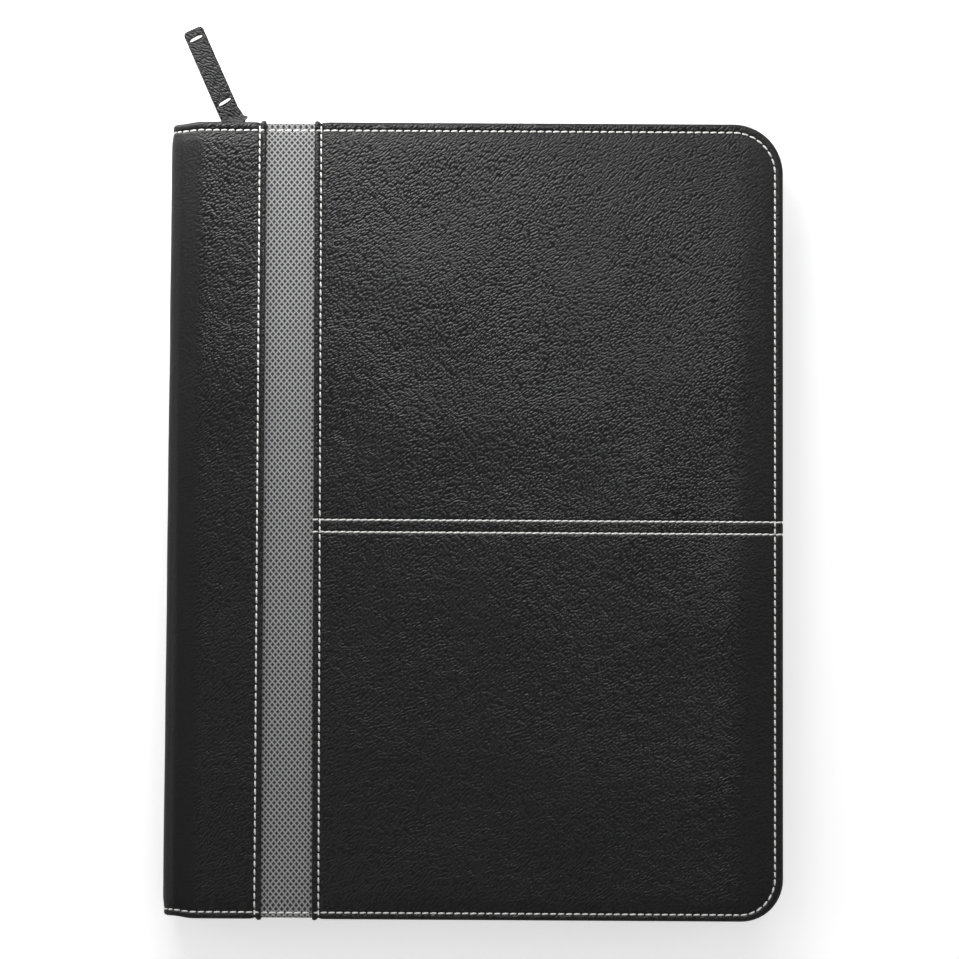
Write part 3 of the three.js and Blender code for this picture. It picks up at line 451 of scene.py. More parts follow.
# Plain finishes: hex colour, roughness, how much darker its spots are, their depth and size in
# millimetres, and for metals how metallic it is. Gunmetal is zinc, die cast and plated.
PLAIN_FINISHES = {
    "polyester_thread_white": ("#f2f1ee", 0.5, 0.12, 0.05, 0.4),
    "polyester_thread_black": ("#1b1b1b", 0.5, 0.2, 0.05, 0.4),
    "needle_hole_shadow": ("#060606", 0.9, 0.2, 0.01, 0.5),
    "gunmetal_plated_zinc": ("#4a4a4d", 0.28, 0.12, 0.004, 0.8, 1.0),
    "acetal_teeth_black": ("#181818", 0.32, 0.15, 0.02, 0.5),
    "polyurethane_foam_grey": ("#8c8c88", 0.95, 0.3, 0.12, 0.6),
    "board_black_lined": ("#1f1e1d", 0.85, 0.25, 0.05, 1.6),
    "chipboard_backing": ("#8f7d66", 0.85, 0.3, 0.03, 1.1),
}

# Woven finishes: the hex colours of the holes' painted shade and of the floats, the pitch across and
# along in millimetres, roughness, depth in millimetres and sheen. The lining is taffeta, a dull
# black whose rib just shows.
WOVEN_FINISHES = {
    "woven_polyester_grey_diamond": ("#070707", "#a4a4a4", 2.4, 2.8, 0.75, 0.3, 0.3),
    "nylon_lining_black": ("#0e0e0e", "#2f2f31", 1.1, 1.1, 0.62, 0.06, 0.15),
    "woven_zip_tape_black": ("#0b0b0b", "#2c2c2c", 0.9, 1.3, 0.7, 0.12, 0.15),
    "elastic_webbing_black": ("#0c0c0c", "#303030", 1.1, 0.8, 0.75, 0.15, 0.2),
    "binding_tape_black": ("#101010", "#2e2e2e", 0.7, 0.7, 0.6, 0.05, 0.1),
}

MADE = {}


def finish(name):
    """The material of that name from the two tables, made once."""
    if name not in MADE and name in WOVEN_FINISHES:
        MADE[name] = woven_material(name, *WOVEN_FINISHES[name])
    elif name not in MADE:
        MADE[name] = plain_material(name, *PLAIN_FINISHES[name])
    return MADE[name]


def case_leather():
    """The case's leather, made once from its settings."""
    name = "bonded_leather_pebbled_black"
    if name not in MADE:
        settings = bpy.context.scene.padfolio_leather
        sizes = (settings.grain_width / MM, settings.grain_height / MM, settings.grain_depth / MM)
        # 070707 is the painted shade in the grain's creases
        MADE[name] = leather_material(name, (*settings.colour, 1), "#070707", *sizes, settings.roughness)
    return MADE[name]


def ruled_paper(high):
    """Writing paper, uncoated: bright and matt, with pale blue rules every 7.1 mm and a margin line."""
    material, tree = new_material("ruled_paper_white")
    place = on_object(tree)
    split = add_node(tree, "ShaderNodeSeparateXYZ", {}, {"Vector": place})
    rule = maths(tree, "LESS_THAN", maths(tree, "PINGPONG", split.outputs["Y"], 7.1 * MM / 2), 0.16 * MM)
    below = maths(tree, "LESS_THAN", split.outputs["Y"], float(high[1] - 48) * MM)
    shown = maths(tree, "MULTIPLY", rule, below)
    margin = maths(tree, "COMPARE", split.outputs["X"], -66 * MM, 0.2 * MM)
    fibre = noise(tree, place, 0.9, 3.0).outputs["Fac"]
    paper = ramp(tree, fibre, (0.35, linear("#e9e8e1")), (0.65, linear("#f4f3ee")))
    for line, colour in ((shown, "#9fb4cf"), (margin, "#d79a9a")):
        mix = add_node(tree, "ShaderNodeMixRGB", {"Color2": linear(colour)}, {"Fac": line, "Color1": paper})
        paper = mix.outputs[0]
    surface(tree, paper, fibre, 0.01, Roughness=0.85, IOR=1.5)
    return material


# The turned edge and the sheets of the case

def edge_rings(depth, seam=SEAM, fall=0.45, groove=0.45, roll=1.5, tuck=0.9, lip=2.6):
    """Rings across a turned edge, from the flat of the cover outwards. The top falls softly from 9 mm
    in, dips by the groove at the seam, rolls over a quarter circle, runs down the wall and tucks in
    over a smaller quarter circle to the lip. Gives inset, height, and the outward normal."""
    inset = np.concatenate([
        np.linspace(REACH, 9.5, 4)[:-1], [9, 7.8, 6.7, 5.8, 5.1],
        seam + np.array([1.25, 0.9, 0.62, 0.4, 0.2, 0, -0.2, -0.4, -0.62, -0.9]),
    ])
    inset = inset[inset > roll]
    height = -fall * (1 - smooth((inset - seam) / 5.7)) - groove * hill(inset - seam, 0.5)
    turn = np.radians(np.linspace(8, 90, 7))
    turn_in = np.radians([25, 50, 75, 90])
    inset = np.concatenate([inset, roll * (1 - np.sin(turn)), [0], tuck * (1 - np.cos(turn_in)), [lip]])
    level = -fall - roll
    height = np.concatenate([
        height, -fall - roll * (1 - np.cos(turn)), [(level - depth + tuck) / 2],
        -depth + tuck * (1 - np.sin(turn_in)), [-depth]])
    return section_ways(inset, height)


def seam_shift(out, side, share):
    """The seam runs 0.4 mm further in along the head, 0.15 mm along the side and 0.5 mm further out
    along the foot. Gives the shift inwards for a place whose way out has the parts side and out."""
    return (0.4 * np.maximum(out, 0) ** 2 - 0.5 * np.minimum(out, 0) ** 2 + 0.15 * side ** 2) * share


def flat_inset(inset, height):
    """How far in each ring lies on the sheet before its edge is turned: the first inset less the
    length along the section."""
    return inset[0] - run_of(inset, height)


def at_holes(phase):
    """1 at each needle hole, where the phase is a whole number, and 0 halfway between two."""
    return 0.5 + 0.5 * np.cos(2 * np.pi * phase)


def soft_swell(x, y):
    """The slight unevenness of hand-laid leather: five long waves added together."""
    total = 0
    for kx, ky, phase, size in ((0.09, 0.05, 0.4, 0.03), (-0.06, 0.11, 2.1, 0.03), (0.15, -0.08, 4.0, 0.018),
                                (0.03, 0.19, 1.2, 0.015), (0.21, 0.12, 5.1, 0.01)):
        total = total + size * np.sin(kx * x + ky * y + phase)
    return total


def case_fold(u):
    """Across the case: flat beyond the fold, a quarter circle at the fold and straight along the
    spine. Gives x, the depth below the face, and the outward normal as x and face parts."""
    turn = np.clip((FOLD_X - u) / FOLD_RADIUS, 0, math.pi / 2)
    past = np.maximum(FOLD_X - FOLD_LENGTH - u, 0)
    x = np.maximum(u, FOLD_X) - FOLD_RADIUS * np.sin(turn)
    return x, FOLD_RADIUS * (1 - np.cos(turn)) + past, -np.sin(turn), np.cos(turn)


class Sheet:
    """A sheet of the case. Its main part is a grid: columns across, and rows that run from under the
    foot edge over the face to under the head edge. A second grid runs round the right edge: columns
    along the edge and rings outwards."""

    def __init__(self, face, way, outline, columns, rows, rings, folded=False, rounded=True, slant=(0, 1),
                 swell=1.0, pucker=0.14, seam=SEAM):
        half = outline[1]
        u, lift, flat_u, column_phase, column_seam = columns
        row_y, row_lift, row_phase = rows
        inset, height, out, up = rings
        flat_d = flat_inset(inset, height)
        reach = inset[0]
        seam_share = hill(inset - seam, 0.75)
        nearness = smooth((inset - seam + 1.7) / 1.5) * (1 - smooth((inset - seam - 0.6) / 5))
        count = len(inset) - 1
        middle = len(row_y)
        level = np.zeros(middle)

        def rows_of(ring, face_row, foot_sign=1):
            """One value for each row, from the rings at the foot over the face to those at the head."""
            return np.concatenate([foot_sign * ring[:0:-1], face_row, ring[1:]])[:, None]

        y, flat_y = rows_of(half - inset, row_y, -1), rows_of(half - flat_d, row_y, -1)
        h, n_out, n_up = rows_of(height, level), rows_of(out, level, -1), rows_of(up, level + 1)
        ends = rows_of(np.ones(count + 1), level, -1)
        rise = rows_of(np.zeros(count + 1), row_lift)
        ring_share = rows_of(seam_share, level)
        near_edge = rows_of(1 - inset / reach, level)
        spacing = (row_phase[-1] - row_phase[0]) / (row_y[-1] - row_y[0])
        phase_y = row_phase[0] + (flat_y - row_y[0]) * spacing
        if folded:
            cx, cd, nx, nf = case_fold(u)
        else:
            cx, cd, nx, nf = u, np.zeros_like(u), np.zeros_like(u), np.ones_like(u)
        fade = smooth((half - np.abs(y) - 4) / 12) * swell
        raised = lift + rise + fade * soft_swell(u, y)
        raised = raised - pucker * (at_holes(column_phase) * ring_share)
        raised = raised - pucker * (at_holes(phase_y) * column_seam)
        # Round the fold both ends draw in a little, and a hem runs a little off square
        eased = 1.1 * smooth((-116 - u) / 9) if folded else np.zeros_like(u)
        lean = slant[0] * (y / half) * smooth(1 - np.abs(u - slant[1]) / 45)
        shift = -ends * seam_shift(ends, 0, rows_of(nearness, level))
        away = h + raised * n_up
        self.grid = stacked(cx + nx * away + lean,
                            y + shift + raised * n_out - np.sign(y) * near_edge * eased,
                            face - way * cd + way * nf * away)
        self.grid_normal = unit(stacked(nx * n_up, n_out, way * nf * n_up))
        self.grid_flat = stacked(flat_u, flat_y)
        self.phase_u, self.phase_y = column_phase, phase_y[:, 0]
        self.seam_ring = int(np.argmin(np.abs(inset - seam)))
        self.first_row = count
        self.way = way
        fold_share = smooth((u - FOLD_X - 4) / 6) * 0.75 + 0.25 if folded else np.ones_like(u)
        self.grid_grain = np.broadcast_to(fold_share, self.grid.shape[:2])
        self.band = None
        if rounded:
            self._round_edge(face, outline, rings, flat_d, rows, seam_share, nearness, swell, pucker)
            # The two grids share the points of their common line
            inner = np.clip(np.arange(len(self.band)) - self.band_rows, 0, middle - 1)
            self.band[:, 0] = self.grid[count + inner, -1]

    def _round_edge(self, face, outline, rings, flat_d, rows, seam_share, nearness, swell, pucker):
        """The right edge with its two corners. A corner's radius shrinks with the inset and is gone
        where the rings meet the main grid's corner."""
        edge, half, head, foot = outline
        inset, height, out, up = rings
        reach, way = inset[0], self.way
        row_y, row_lift, row_phase = rows
        foot_turns, head_turns = (max(2, round((r - SEAM) * math.pi / 2 / 3.3)) for r in (foot, head))
        foot_angle = np.linspace(-math.pi / 2, 0, 2 * foot_turns + 1)[:, None]
        head_angle = np.linspace(0, math.pi / 2, 2 * head_turns + 1)[:, None]

        def corner(sign, radius, angle, d):
            shown = np.maximum(d, 0)
            r = radius * (1 - shown / reach)
            x = edge - shown - r * (1 - np.cos(angle))
            y = sign * (half - shown - r) + r * np.sin(angle)
            past = np.maximum(-d, 0)
            return stacked(x + past * np.cos(angle), y + past * np.sin(angle))

        def places(d):
            return np.concatenate([stacked(edge - reach, -(half - d))[None], corner(-1, foot, foot_angle, d),
                                   stacked(edge - d, row_y[:, None]), corner(1, head, head_angle, d)])

        shift = row_phase[0] - 1 - foot_turns
        foot_phase = np.linspace(0, foot_turns, len(foot_angle)) + shift
        head_phase = row_phase[-1] + np.linspace(0, head_turns, len(head_angle))
        phase = np.concatenate([[shift - 1], foot_phase, row_phase, head_phase])
        level = np.zeros((len(row_y), 1))
        way_x = np.vstack([[[0]], np.cos(foot_angle), level + 1, np.cos(head_angle)])
        way_y = np.vstack([[[-1]], np.sin(foot_angle), level, np.sin(head_angle)])
        lift = np.concatenate([np.zeros(1 + len(foot_angle)), row_lift, np.zeros(len(head_angle))])[:, None]
        x, y = np.moveaxis(places(inset), -1, 0)
        raised = lift - pucker * at_holes(phase)[:, None] * seam_share
        raised = raised + smooth((inset - 4) / 12) * swell * soft_swell(x, y)
        outwards = raised * out - seam_shift(way_y, way_x, nearness)
        self.band = stacked(x + way_x * outwards, y + way_y * outwards, face + way * (height + raised * up))
        self.band_normal = unit(stacked(way_x * out, way_y * out, way * up))
        self.band_flat = places(flat_d)
        self.band_phase = phase
        self.band_rows = 1 + len(foot_angle)
        self.band_grain = np.ones(self.band.shape[:2])

    def skin(self, thickness):
        """The sheet as a closed skin: points, faces, places on the cut sheet and grain."""
        points, faces = self.grid.reshape(-1, 3), grid_faces(*self.grid.shape[:2])
        flat, grain = self.grid_flat.reshape(-1, 2), self.grid_grain.reshape(-1)
        if self.band is not None:
            faces = np.vstack([faces, grid_faces(*self.band.shape[:2], start=len(points))])
            points = np.vstack([points, self.band.reshape(-1, 3)])
            flat = np.vstack([flat, self.band_flat.reshape(-1, 2)])
            grain = np.concatenate([grain, self.band_grain.reshape(-1)])
        points, faces, kept = welded(points, faces)
        if self.way < 0:
            faces = faces[:, ::-1]
        points, faces = thickened(points, faces, thickness)
        return points, faces, np.tile(flat[kept], (2, 1)), np.tile(grain[kept], 2)

    def edge_seam(self):
        """The seam round the sheet: along the foot, up the right edge and back along the head. Each
        part is a line of points, their normals and the count of stitches so far."""
        low, high = self.first_row - self.seam_ring, len(self.grid) - 1 - self.first_row + self.seam_ring
        parts = [(self.grid[low], self.grid_normal[low], self.phase_u),
                 (self.grid[high], self.grid_normal[high], self.phase_u)]
        if self.band is not None:
            parts.append((self.band[:, self.seam_ring], self.band_normal[:, self.seam_ring], self.band_phase))
        return parts

    def row_line(self, row):
        """A row of the main grid, carried on over the right edge."""
        j = self.first_row + row
        line, normal = self.grid[j], self.grid_normal[j]
        if self.band is not None:
            p = self.band_rows + row
            line = np.vstack([line, self.band[p][1:]])
            normal = np.vstack([normal, self.band_normal[p][1:]])
        return line, normal


def hem_columns(sign):
    """Columns across a hem, outermost first: how far each lies from the hem's edge, its height and
    its place on the sheet. The skin dips at the seam, stands up in a bead and rolls under."""
    away = np.array([3.2, 1.9, 0.9, 0.35, 0.08, 0, 0.05, 0.2, 0.5, 0.85, 1.2, 1.6, 1.95, 2.2, 2.4, 2.55,
                     2.7, 2.85, 3.05, 3.3, 3.7, 4.3, 5.2, 6.6])
    height = np.array([-1.12, -1.14, -1.12, -0.98, -0.7, -0.35, 0.0, 0.27, 0.44, 0.5, 0.49, 0.38, 0.14,
                       -0.12, -0.34, -0.47, -0.52, -0.48, -0.36, -0.24, -0.13, -0.06, -0.02, 0.0])
    run = run_of(away, height)
    flat = run - run[-1] + away[-1]
    return sign * away, height, sign * flat


def with_fold(u):
    """The columns, with those at the fold put closer together."""
    plain = u[(u <= FOLD_X - FOLD_LENGTH - 1.2) | (u >= FOLD_X + 1.2)]
    return np.sort(np.concatenate([plain, np.linspace(FOLD_X - FOLD_LENGTH - 0.8, FOLD_X + 0.8, 15)]))


def face_rows(twins=()):
    """Rows over the flat of a cover, at each half stitch, with finer rows at the twin seams."""
    y = np.linspace(-INNER_Y, INNER_Y, 2 * FACE_STITCHES + 1)
    fine = np.array([-1.3, -0.9, -0.6, -0.35, -0.15, 0, 0.15, 0.35, 0.6, 0.9, 1.3])
    for place in twins:
        y = np.sort(np.concatenate([y[np.abs(y - place) > 1.5], place + fine]))
    lift = sum((-0.42 * hill(y - place, 0.5) for place in twins), np.zeros_like(y))
    return y, lift, (y + INNER_Y) / (2 * INNER_Y) * FACE_STITCHES


def panel_sheet():
    """The front panel's skin: hemmed on its left, turned in on the other three sides."""
    stitches = 53
    away, height, flat = hem_columns(1)
    per_mm = stitches / (INNER_X - PANEL_HEM_X)
    u = np.linspace(PANEL_HEM_X, INNER_X, 2 * stitches + 1)
    phase = np.linspace(0, stitches, len(u))
    keep = u > PANEL_HEM_X + 7.4
    level = np.zeros(keep.sum())
    columns = (
        np.concatenate([PANEL_HEM_X + away, u[keep]]),
        np.concatenate([height, level]),
        np.concatenate([PANEL_HEM_X + flat, u[keep]]),
        np.concatenate([np.maximum(flat, -9) * per_mm, phase[keep]]),
        np.concatenate([hill(flat - HEM, 0.6), level]),
    )
    return Sheet(THICKNESS, 1, OUTLINE, columns, face_rows(TWIN_ROWS), edge_rings(FRONT_DEPTH),
                 slant=(-0.9, PANEL_HEM_X))


def flap_sheet():
    """The upper half of the spine's skin, carried on over the front as far as its hem."""
    stitches = 16
    away, height, flat = (line[::-1] for line in hem_columns(-1))
    per_mm = stitches / (FLAP_HEM_X - SPINE_MIDDLE)
    u = np.linspace(SPINE_MIDDLE, FLAP_HEM_X, 2 * stitches + 1)
    u = with_fold(u[u < FLAP_HEM_X - 7.4])
    level = np.zeros_like(u)
    columns = (
        np.concatenate([u, FLAP_HEM_X + away]),
        np.concatenate([level, height]),
        np.concatenate([u, FLAP_HEM_X + flat]),
        np.concatenate([(u - SPINE_MIDDLE) * per_mm, stitches + np.minimum(flat, 9) * per_mm]),
        np.concatenate([level, hill(flat + HEM, 0.6)]),
    )
    return Sheet(THICKNESS, 1, OUTLINE, columns, face_rows(), edge_rings(FRONT_DEPTH), folded=True,
                 rounded=False, slant=(-0.55, FLAP_HEM_X))


def back_sheet():
    """The back cover's skin, carried on over the lower half of the spine."""
    stitches = 75
    u = with_fold(np.linspace(SPINE_MIDDLE, INNER_X, 2 * stitches + 1))
    phase = (u - SPINE_MIDDLE) / (INNER_X - SPINE_MIDDLE) * stitches
    level = np.zeros_like(u)
    columns = (u, level, u, phase, level)
    return Sheet(0.0, -1, OUTLINE, columns, face_rows(), edge_rings(BACK_DEPTH), folded=True)


def cloth_sheet():
    """The grey cloth behind the front pocket, sewn at the edges and turned down over head and foot."""
    inset, end_inset = 1.3, 0.5
    u = np.concatenate([
        np.linspace(corners_of("front_pocket_fabric")[0][0], FLAP_HEM_X - 3.4, 12),
        np.linspace(FLAP_HEM_X, PANEL_HEM_X, 2 * BAND_STITCHES + 1),
        np.linspace(PANEL_HEM_X + 3.4, INNER_X - inset, 54),
    ])
    phase = (u - FLAP_HEM_X) / (PANEL_HEM_X - FLAP_HEM_X) * BAND_STITCHES
    level = np.zeros_like(u)
    seam = SEAM - end_inset - 0.2
    rings = edge_rings(CLOTH_TOP - FRONT_INSIDE, seam, fall=0.25, groove=0.3, roll=0.9, tuck=0.5, lip=1.4)
    y, lift, row_phase = face_rows()
    y = y * (INNER_Y - end_inset) / INNER_Y
    sheet = Sheet(CLOTH_TOP, 1, (EDGE_X - inset, HALF_HEIGHT - end_inset, HEAD_RADIUS, FOOT_RADIUS),
                  (u, level, u, phase, level), (y, lift, row_phase), rings, swell=0.5, seam=seam)
    # Under the flap the cloth ends further in, clear of the flap's turned edge
    end = sheet.grid[..., 1]
    tucked = 1.8 * smooth((FLAP_HEM_X - 3 - u) / 7)
    end -= np.sign(end) * tucked[None, :] * smooth((np.abs(end) - 150) / 8)
    return sheet


# Sewing

ALONG = np.array([0.0, 0.1, 0.3, 0.5, 0.7, 0.9, 1.0])       # stations along one stitch
THREAD_SIDES = 6
# Each needle hole's painted shadow is a dark lens of this many sides and this radius
HOLE_SIDES = 8
HOLE_RADIUS = 0.42
STITCH = 3.0             # length of a stitch where the seam's own counts don't set it


def whole_counts(phase, span):
    """The whole counts within the span, or within the phase's own ends."""
    low, high = span or (phase[0], phase[-1])
    return np.arange(math.ceil(low - 1e-3), math.floor(high + 1e-3) + 1)


def sewn(line, normal, phase, span=None, width=0.78, height=0.5, slant=-0.12, gap=0.1, dip=0.8):
    """A row of stitches. Each lies between two whole counts of the phase: its middle line follows the
    seam, comes up out of one hole in a flat arch and dips into the next, a little on the slant, and
    its section is an ellipse of six sides."""
    count = whole_counts(phase, span)[:-1]
    at = count[:, None] + gap / 2 + (1 - gap) * ALONG[None, :]
    middle = between(at, phase, line)
    up = unit(between(at, phase, normal))
    tangent = unit(np.gradient(middle, axis=1))
    side = unit(np.cross(tangent, up))
    up = np.cross(side, tangent)
    t = 2 * ALONG - 1
    middle = middle + up * (height * (0.42 - dip * np.abs(t) ** 3.2))[:, None]
    middle = middle + side * (slant * t)[:, None]
    size = np.sqrt(np.maximum(1 - 0.82 * np.abs(t) ** 4, 0))
    angle = (np.arange(THREAD_SIDES) * 2 * math.pi / THREAD_SIDES)[:, None]
    ring = (side[:, :, None] * (np.cos(angle) * width / 2)
            + up[:, :, None] * (np.sin(angle) * height / 2))
    points = (middle[:, :, None] + ring * size[:, None, None]).reshape(-1, 3)
    last = (len(ALONG) - 1) * THREAD_SIDES
    cap = np.array([[0, 1, 2, 3], [0, 3, 4, 5]])
    one = np.vstack([grid_faces(len(ALONG), THREAD_SIDES, closed=True), cap, last + cap[:, ::-1]])
    return points, facing_out(points, repeated(one, len(count), last + THREAD_SIDES))


def needle_hole_shadows(line, normal, phase, span=None):
    """Painted shadows of the needle holes at the whole counts of the phase: a dark, flat lens of
    eight sides on the surface.
    """
    at = whole_counts(phase, span)
    middle = between(at, phase, line)
    up = unit(between(at, phase, normal))
    ahead = between(at + 0.3, phase, line) - between(at - 0.3, phase, line)
    side = unit(np.cross(ahead, up))
    ahead = np.cross(up, side)
    angle = (np.arange(HOLE_SIDES) * 2 * math.pi / HOLE_SIDES)[:, None]
    rim = (middle[:, None] + side[:, None] * (np.cos(angle) * HOLE_RADIUS)
           + ahead[:, None] * (np.sin(angle) * HOLE_RADIUS) + up[:, None] * 0.03)
    points = np.concatenate([rim, (middle + up * 0.06)[:, None], (middle - up * 0.1)[:, None]], axis=1)
    ring = np.arange(HOLE_SIDES)
    following = (ring + 1) % HOLE_SIDES
    top, bottom = HOLE_SIDES, HOLE_SIDES + 1
    one = np.vstack([stacked(ring, following, top, top), stacked(following, ring, bottom, bottom)])
    points = points.reshape(-1, 3)
    return points, facing_out(points, repeated(one, len(at), HOLE_SIDES + 2))


def even_phase(line):
    """Counts of stitches along a line by its length."""
    step = np.linalg.norm(np.diff(line, axis=0), axis=1)
    return np.concatenate([[0], np.cumsum(step)]) / STITCH


def sew(name, seams, body=None, blend=None, thread=None, **shape):
    """Stitches, and the painted shadows of their needle holes, along several seams, as two pieces. A
    seam is a line, its normals, the count of stitches at each point, and where needed the span of
    counts that is sewn."""
    ordered = []
    for line, normal, phase, *span in seams:
        order = np.argsort(phase, kind="stable")
        ordered.append((line[order], normal[order], phase[order], *span))
    threads = [sewn(*seam, **shape) for seam in ordered]
    holes = [needle_hole_shadows(*seam) for seam in ordered]
    for obj in (piece(name + "_stitching", *together(*threads), thread or finish("polyester_thread_white")),
                piece(name + "_needle_hole_shadows", *together(*holes), finish("needle_hole_shadow"))):
        if blend:
            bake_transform(obj)
        else:
            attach(obj, body)


# Each fold's two bodies, and the two points between which the leather gives way
BEND = 8                 # how far a fold's bend reaches from the case's edge
FRONT_FOLD = ("spine", "front",
              (SPINE_X * MM, 0, (THICKNESS - BEND) * MM), ((SPINE_X + BEND) * MM, 0, THICKNESS * MM))
BACK_FOLD = ("back", "spine", ((SPINE_X + BEND) * MM, 0, 0), (SPINE_X * MM, 0, BEND * MM))


# Settings

def length(name, description, default):
    """A setting that is a length in metres."""
    return FloatProperty(name=name, description=description, default=default, unit="LENGTH")


class PadfolioLeather(bpy.types.PropertyGroup):
    """The case's leather."""

    colour: FloatVectorProperty(name="Colour", description="Colour of the leather's crowns", size=3,
                                subtype="COLOR", default=linear("#101010")[:3])
    grain_width: length("Grain length", "Length of one pebble of the grain", 1.75 * MM)
    grain_height: length("Grain width", "Width of one pebble of the grain", 0.86 * MM)
    grain_depth: length("Grain depth", "Depth of the creases between the pebbles", 0.25 * MM)
    roughness: FloatProperty(name="Roughness", description="Roughness of the lacquer", default=0.34)
    skin: length("Skin", "Thickness of the leather", 0.55 * MM)


class PadfolioStage(bpy.types.PropertyGroup):
    """The floor, lamps and camera."""

    floor: length("Floor", "Width of the round floor", 6.0)
    focal: FloatProperty(name="Focal length", description="Focal length in millimetres on a 36 mm film",
                         default=3108.05 / 959 * 36)
    distance: length("Camera distance", "From the camera to the cover", 1.3)


# Pieces

class PADFOLIO_OT_front_panel(bpy.types.Operator):
    """Makes the front panel's leather, turned in on three sides and hemmed on the left."""

    bl_idname = "padfolio.front_panel"
    bl_label = "Front panel"

    def execute(self, context):
        sheet = panel_sheet()
        points, faces, flat, grain = sheet.skin(context.scene.padfolio_leather.skin / MM)
        # The leather is drawn tight along the side seam, and its grain is fainter there
        grain = grain * (1 - 0.5 * smooth((points[:, 0] - 105) / 12))
        panel = piece("panel_leather", points, faces, case_leather(), flat, grain)
        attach(panel, "front")
        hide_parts("front_panel_leather")
        foot, head, side = sheet.edge_seam()
        seams = [tuple(part[5:] for part in seam) for seam in (foot, head)]
        seams.append(hem_seam(sheet, HEM_SEAM))
        sew("panel", [*seams, side], body="front")
        twins = []
        for place in TWIN_ROWS:
            row = int(np.argmin(np.abs(face_rows(TWIN_ROWS)[0] - place)))
            line, normal = (part[4:-7] for part in sheet.row_line(row))
            twins.append((line, normal, even_phase(line)))
        sew("twin_rows", twins, body="front", gap=-0.08, slant=-0.2, width=0.76, dip=0.6)
        return {"FINISHED"}


def hem_seam(sheet, column):
    """The seam along a column, sewn from edge to edge and over both: as far as the wall's top."""
    wall = np.abs(sheet.grid_normal[:, len(sheet.grid[0]) // 2, 1])
    shown = np.nonzero(wall < 0.9)[0]
    hidden = sheet.first_row // 3
    shown = shown[(shown > hidden) & (shown < len(wall) - hidden)]
    span = sheet.phase_y[shown[0]] - 0.3, sheet.phase_y[shown[-1]] + 0.3
    return sheet.grid[:, column], sheet.grid_normal[:, column], sheet.phase_y, span


class PADFOLIO_OT_flap(bpy.types.Operator):
    """Makes the upper half of the spine's leather with the flap that it carries over the front."""

    bl_idname = "padfolio.flap"
    bl_label = "Flap and upper spine"

    def execute(self, context):
        sheet = flap_sheet()
        points, faces, flat, grain = sheet.skin(context.scene.padfolio_leather.skin / MM)
        flap = piece("flap_leather", points, faces, case_leather(), flat, grain, sharp=60)
        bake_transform(flap)
        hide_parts("front_flap_leather", "spine_leather")
        seams = [tuple(part[:-5] for part in seam) for seam in sheet.edge_seam()]
        seams.append(hem_seam(sheet, -1 - HEM_SEAM))
        sew("flap", seams, blend=FRONT_FOLD)
        return {"FINISHED"}


class PADFOLIO_OT_back(bpy.types.Operator):
    """Makes the back cover's leather with the lower half of the spine."""

    bl_idname = "padfolio.back"
    bl_label = "Back and lower spine"

    def execute(self, context):
        sheet = back_sheet()
        points, faces, flat, grain = sheet.skin(context.scene.padfolio_leather.skin / MM)
        back = piece("back_leather", points, faces, case_leather(), flat, grain, sharp=60)
        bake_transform(back)
        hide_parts("back_cover_leather", "spine_leather")
        sew("back", sheet.edge_seam(), blend=BACK_FOLD)
        return {"FINISHED"}


class PADFOLIO_OT_pocket_cloth(bpy.types.Operator):
    """Makes the grey cloth behind the front pocket."""

    bl_idname = "padfolio.pocket_cloth"
    bl_label = "Pocket cloth"

    def execute(self, context):
        sheet = cloth_sheet()
        points, faces, flat, _ = sheet.skin(0.45)
        cloth = piece("pocket_cloth", points, faces, finish("woven_polyester_grey_diamond"), flat)
        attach(cloth, "front")
        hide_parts("front_pocket_fabric")
        sew("pocket_cloth", [(*seam, (0, BAND_STITCHES)) for seam in sheet.edge_seam()[:2]],
            body="front")
        return {"FINISHED"}


# Linings, foam and boards

def lining_rings(reach):
    """Rings of a thin flat sheet, from the inside outwards: level, then a small roll at the edge."""
    inset = np.array([reach, reach * 0.6, reach * 0.3, 3.0, 1.4, 0.6, 0.3, 0.12, 0.0, 0.0])
    return section_ways(inset, np.array([0, 0, 0, 0, 0, -0.02, -0.07, -0.16, -0.32, -0.34]))


def foam_rings(reach):
    """Rings of a foam pad: its crown falls away softly over the last 6 mm."""
    inset = np.array([reach, reach * 0.75, reach * 0.5, 6.5, 5, 3.8, 2.6, 1.6, 0.8, 0.3, 0.0])
    return section_ways(inset, -0.35 * (1 - smooth(inset / 6)))


def inner_sheet(face, way, inset, left, rings_of, columns=40, rows=60, swell=0.35):
    """A sheet with the case's rounded right corners, moved in by the inset and cut straight at left."""
    u = np.linspace(left, INNER_X, columns)
    zero = np.zeros_like(u)
    y = np.linspace(-INNER_Y, INNER_Y, rows)
    reach = REACH - inset
    outline = (EDGE_X - inset, HALF_HEIGHT - inset, HEAD_RADIUS - inset, FOOT_RADIUS - inset)
    return Sheet(face, way, outline, (u, zero, u, zero + 0.5, zero), (y, 0 * y, 0 * y + 0.5 + 1e-6 * y),
                 rings_of(reach), swell=swell, pucker=0.0)


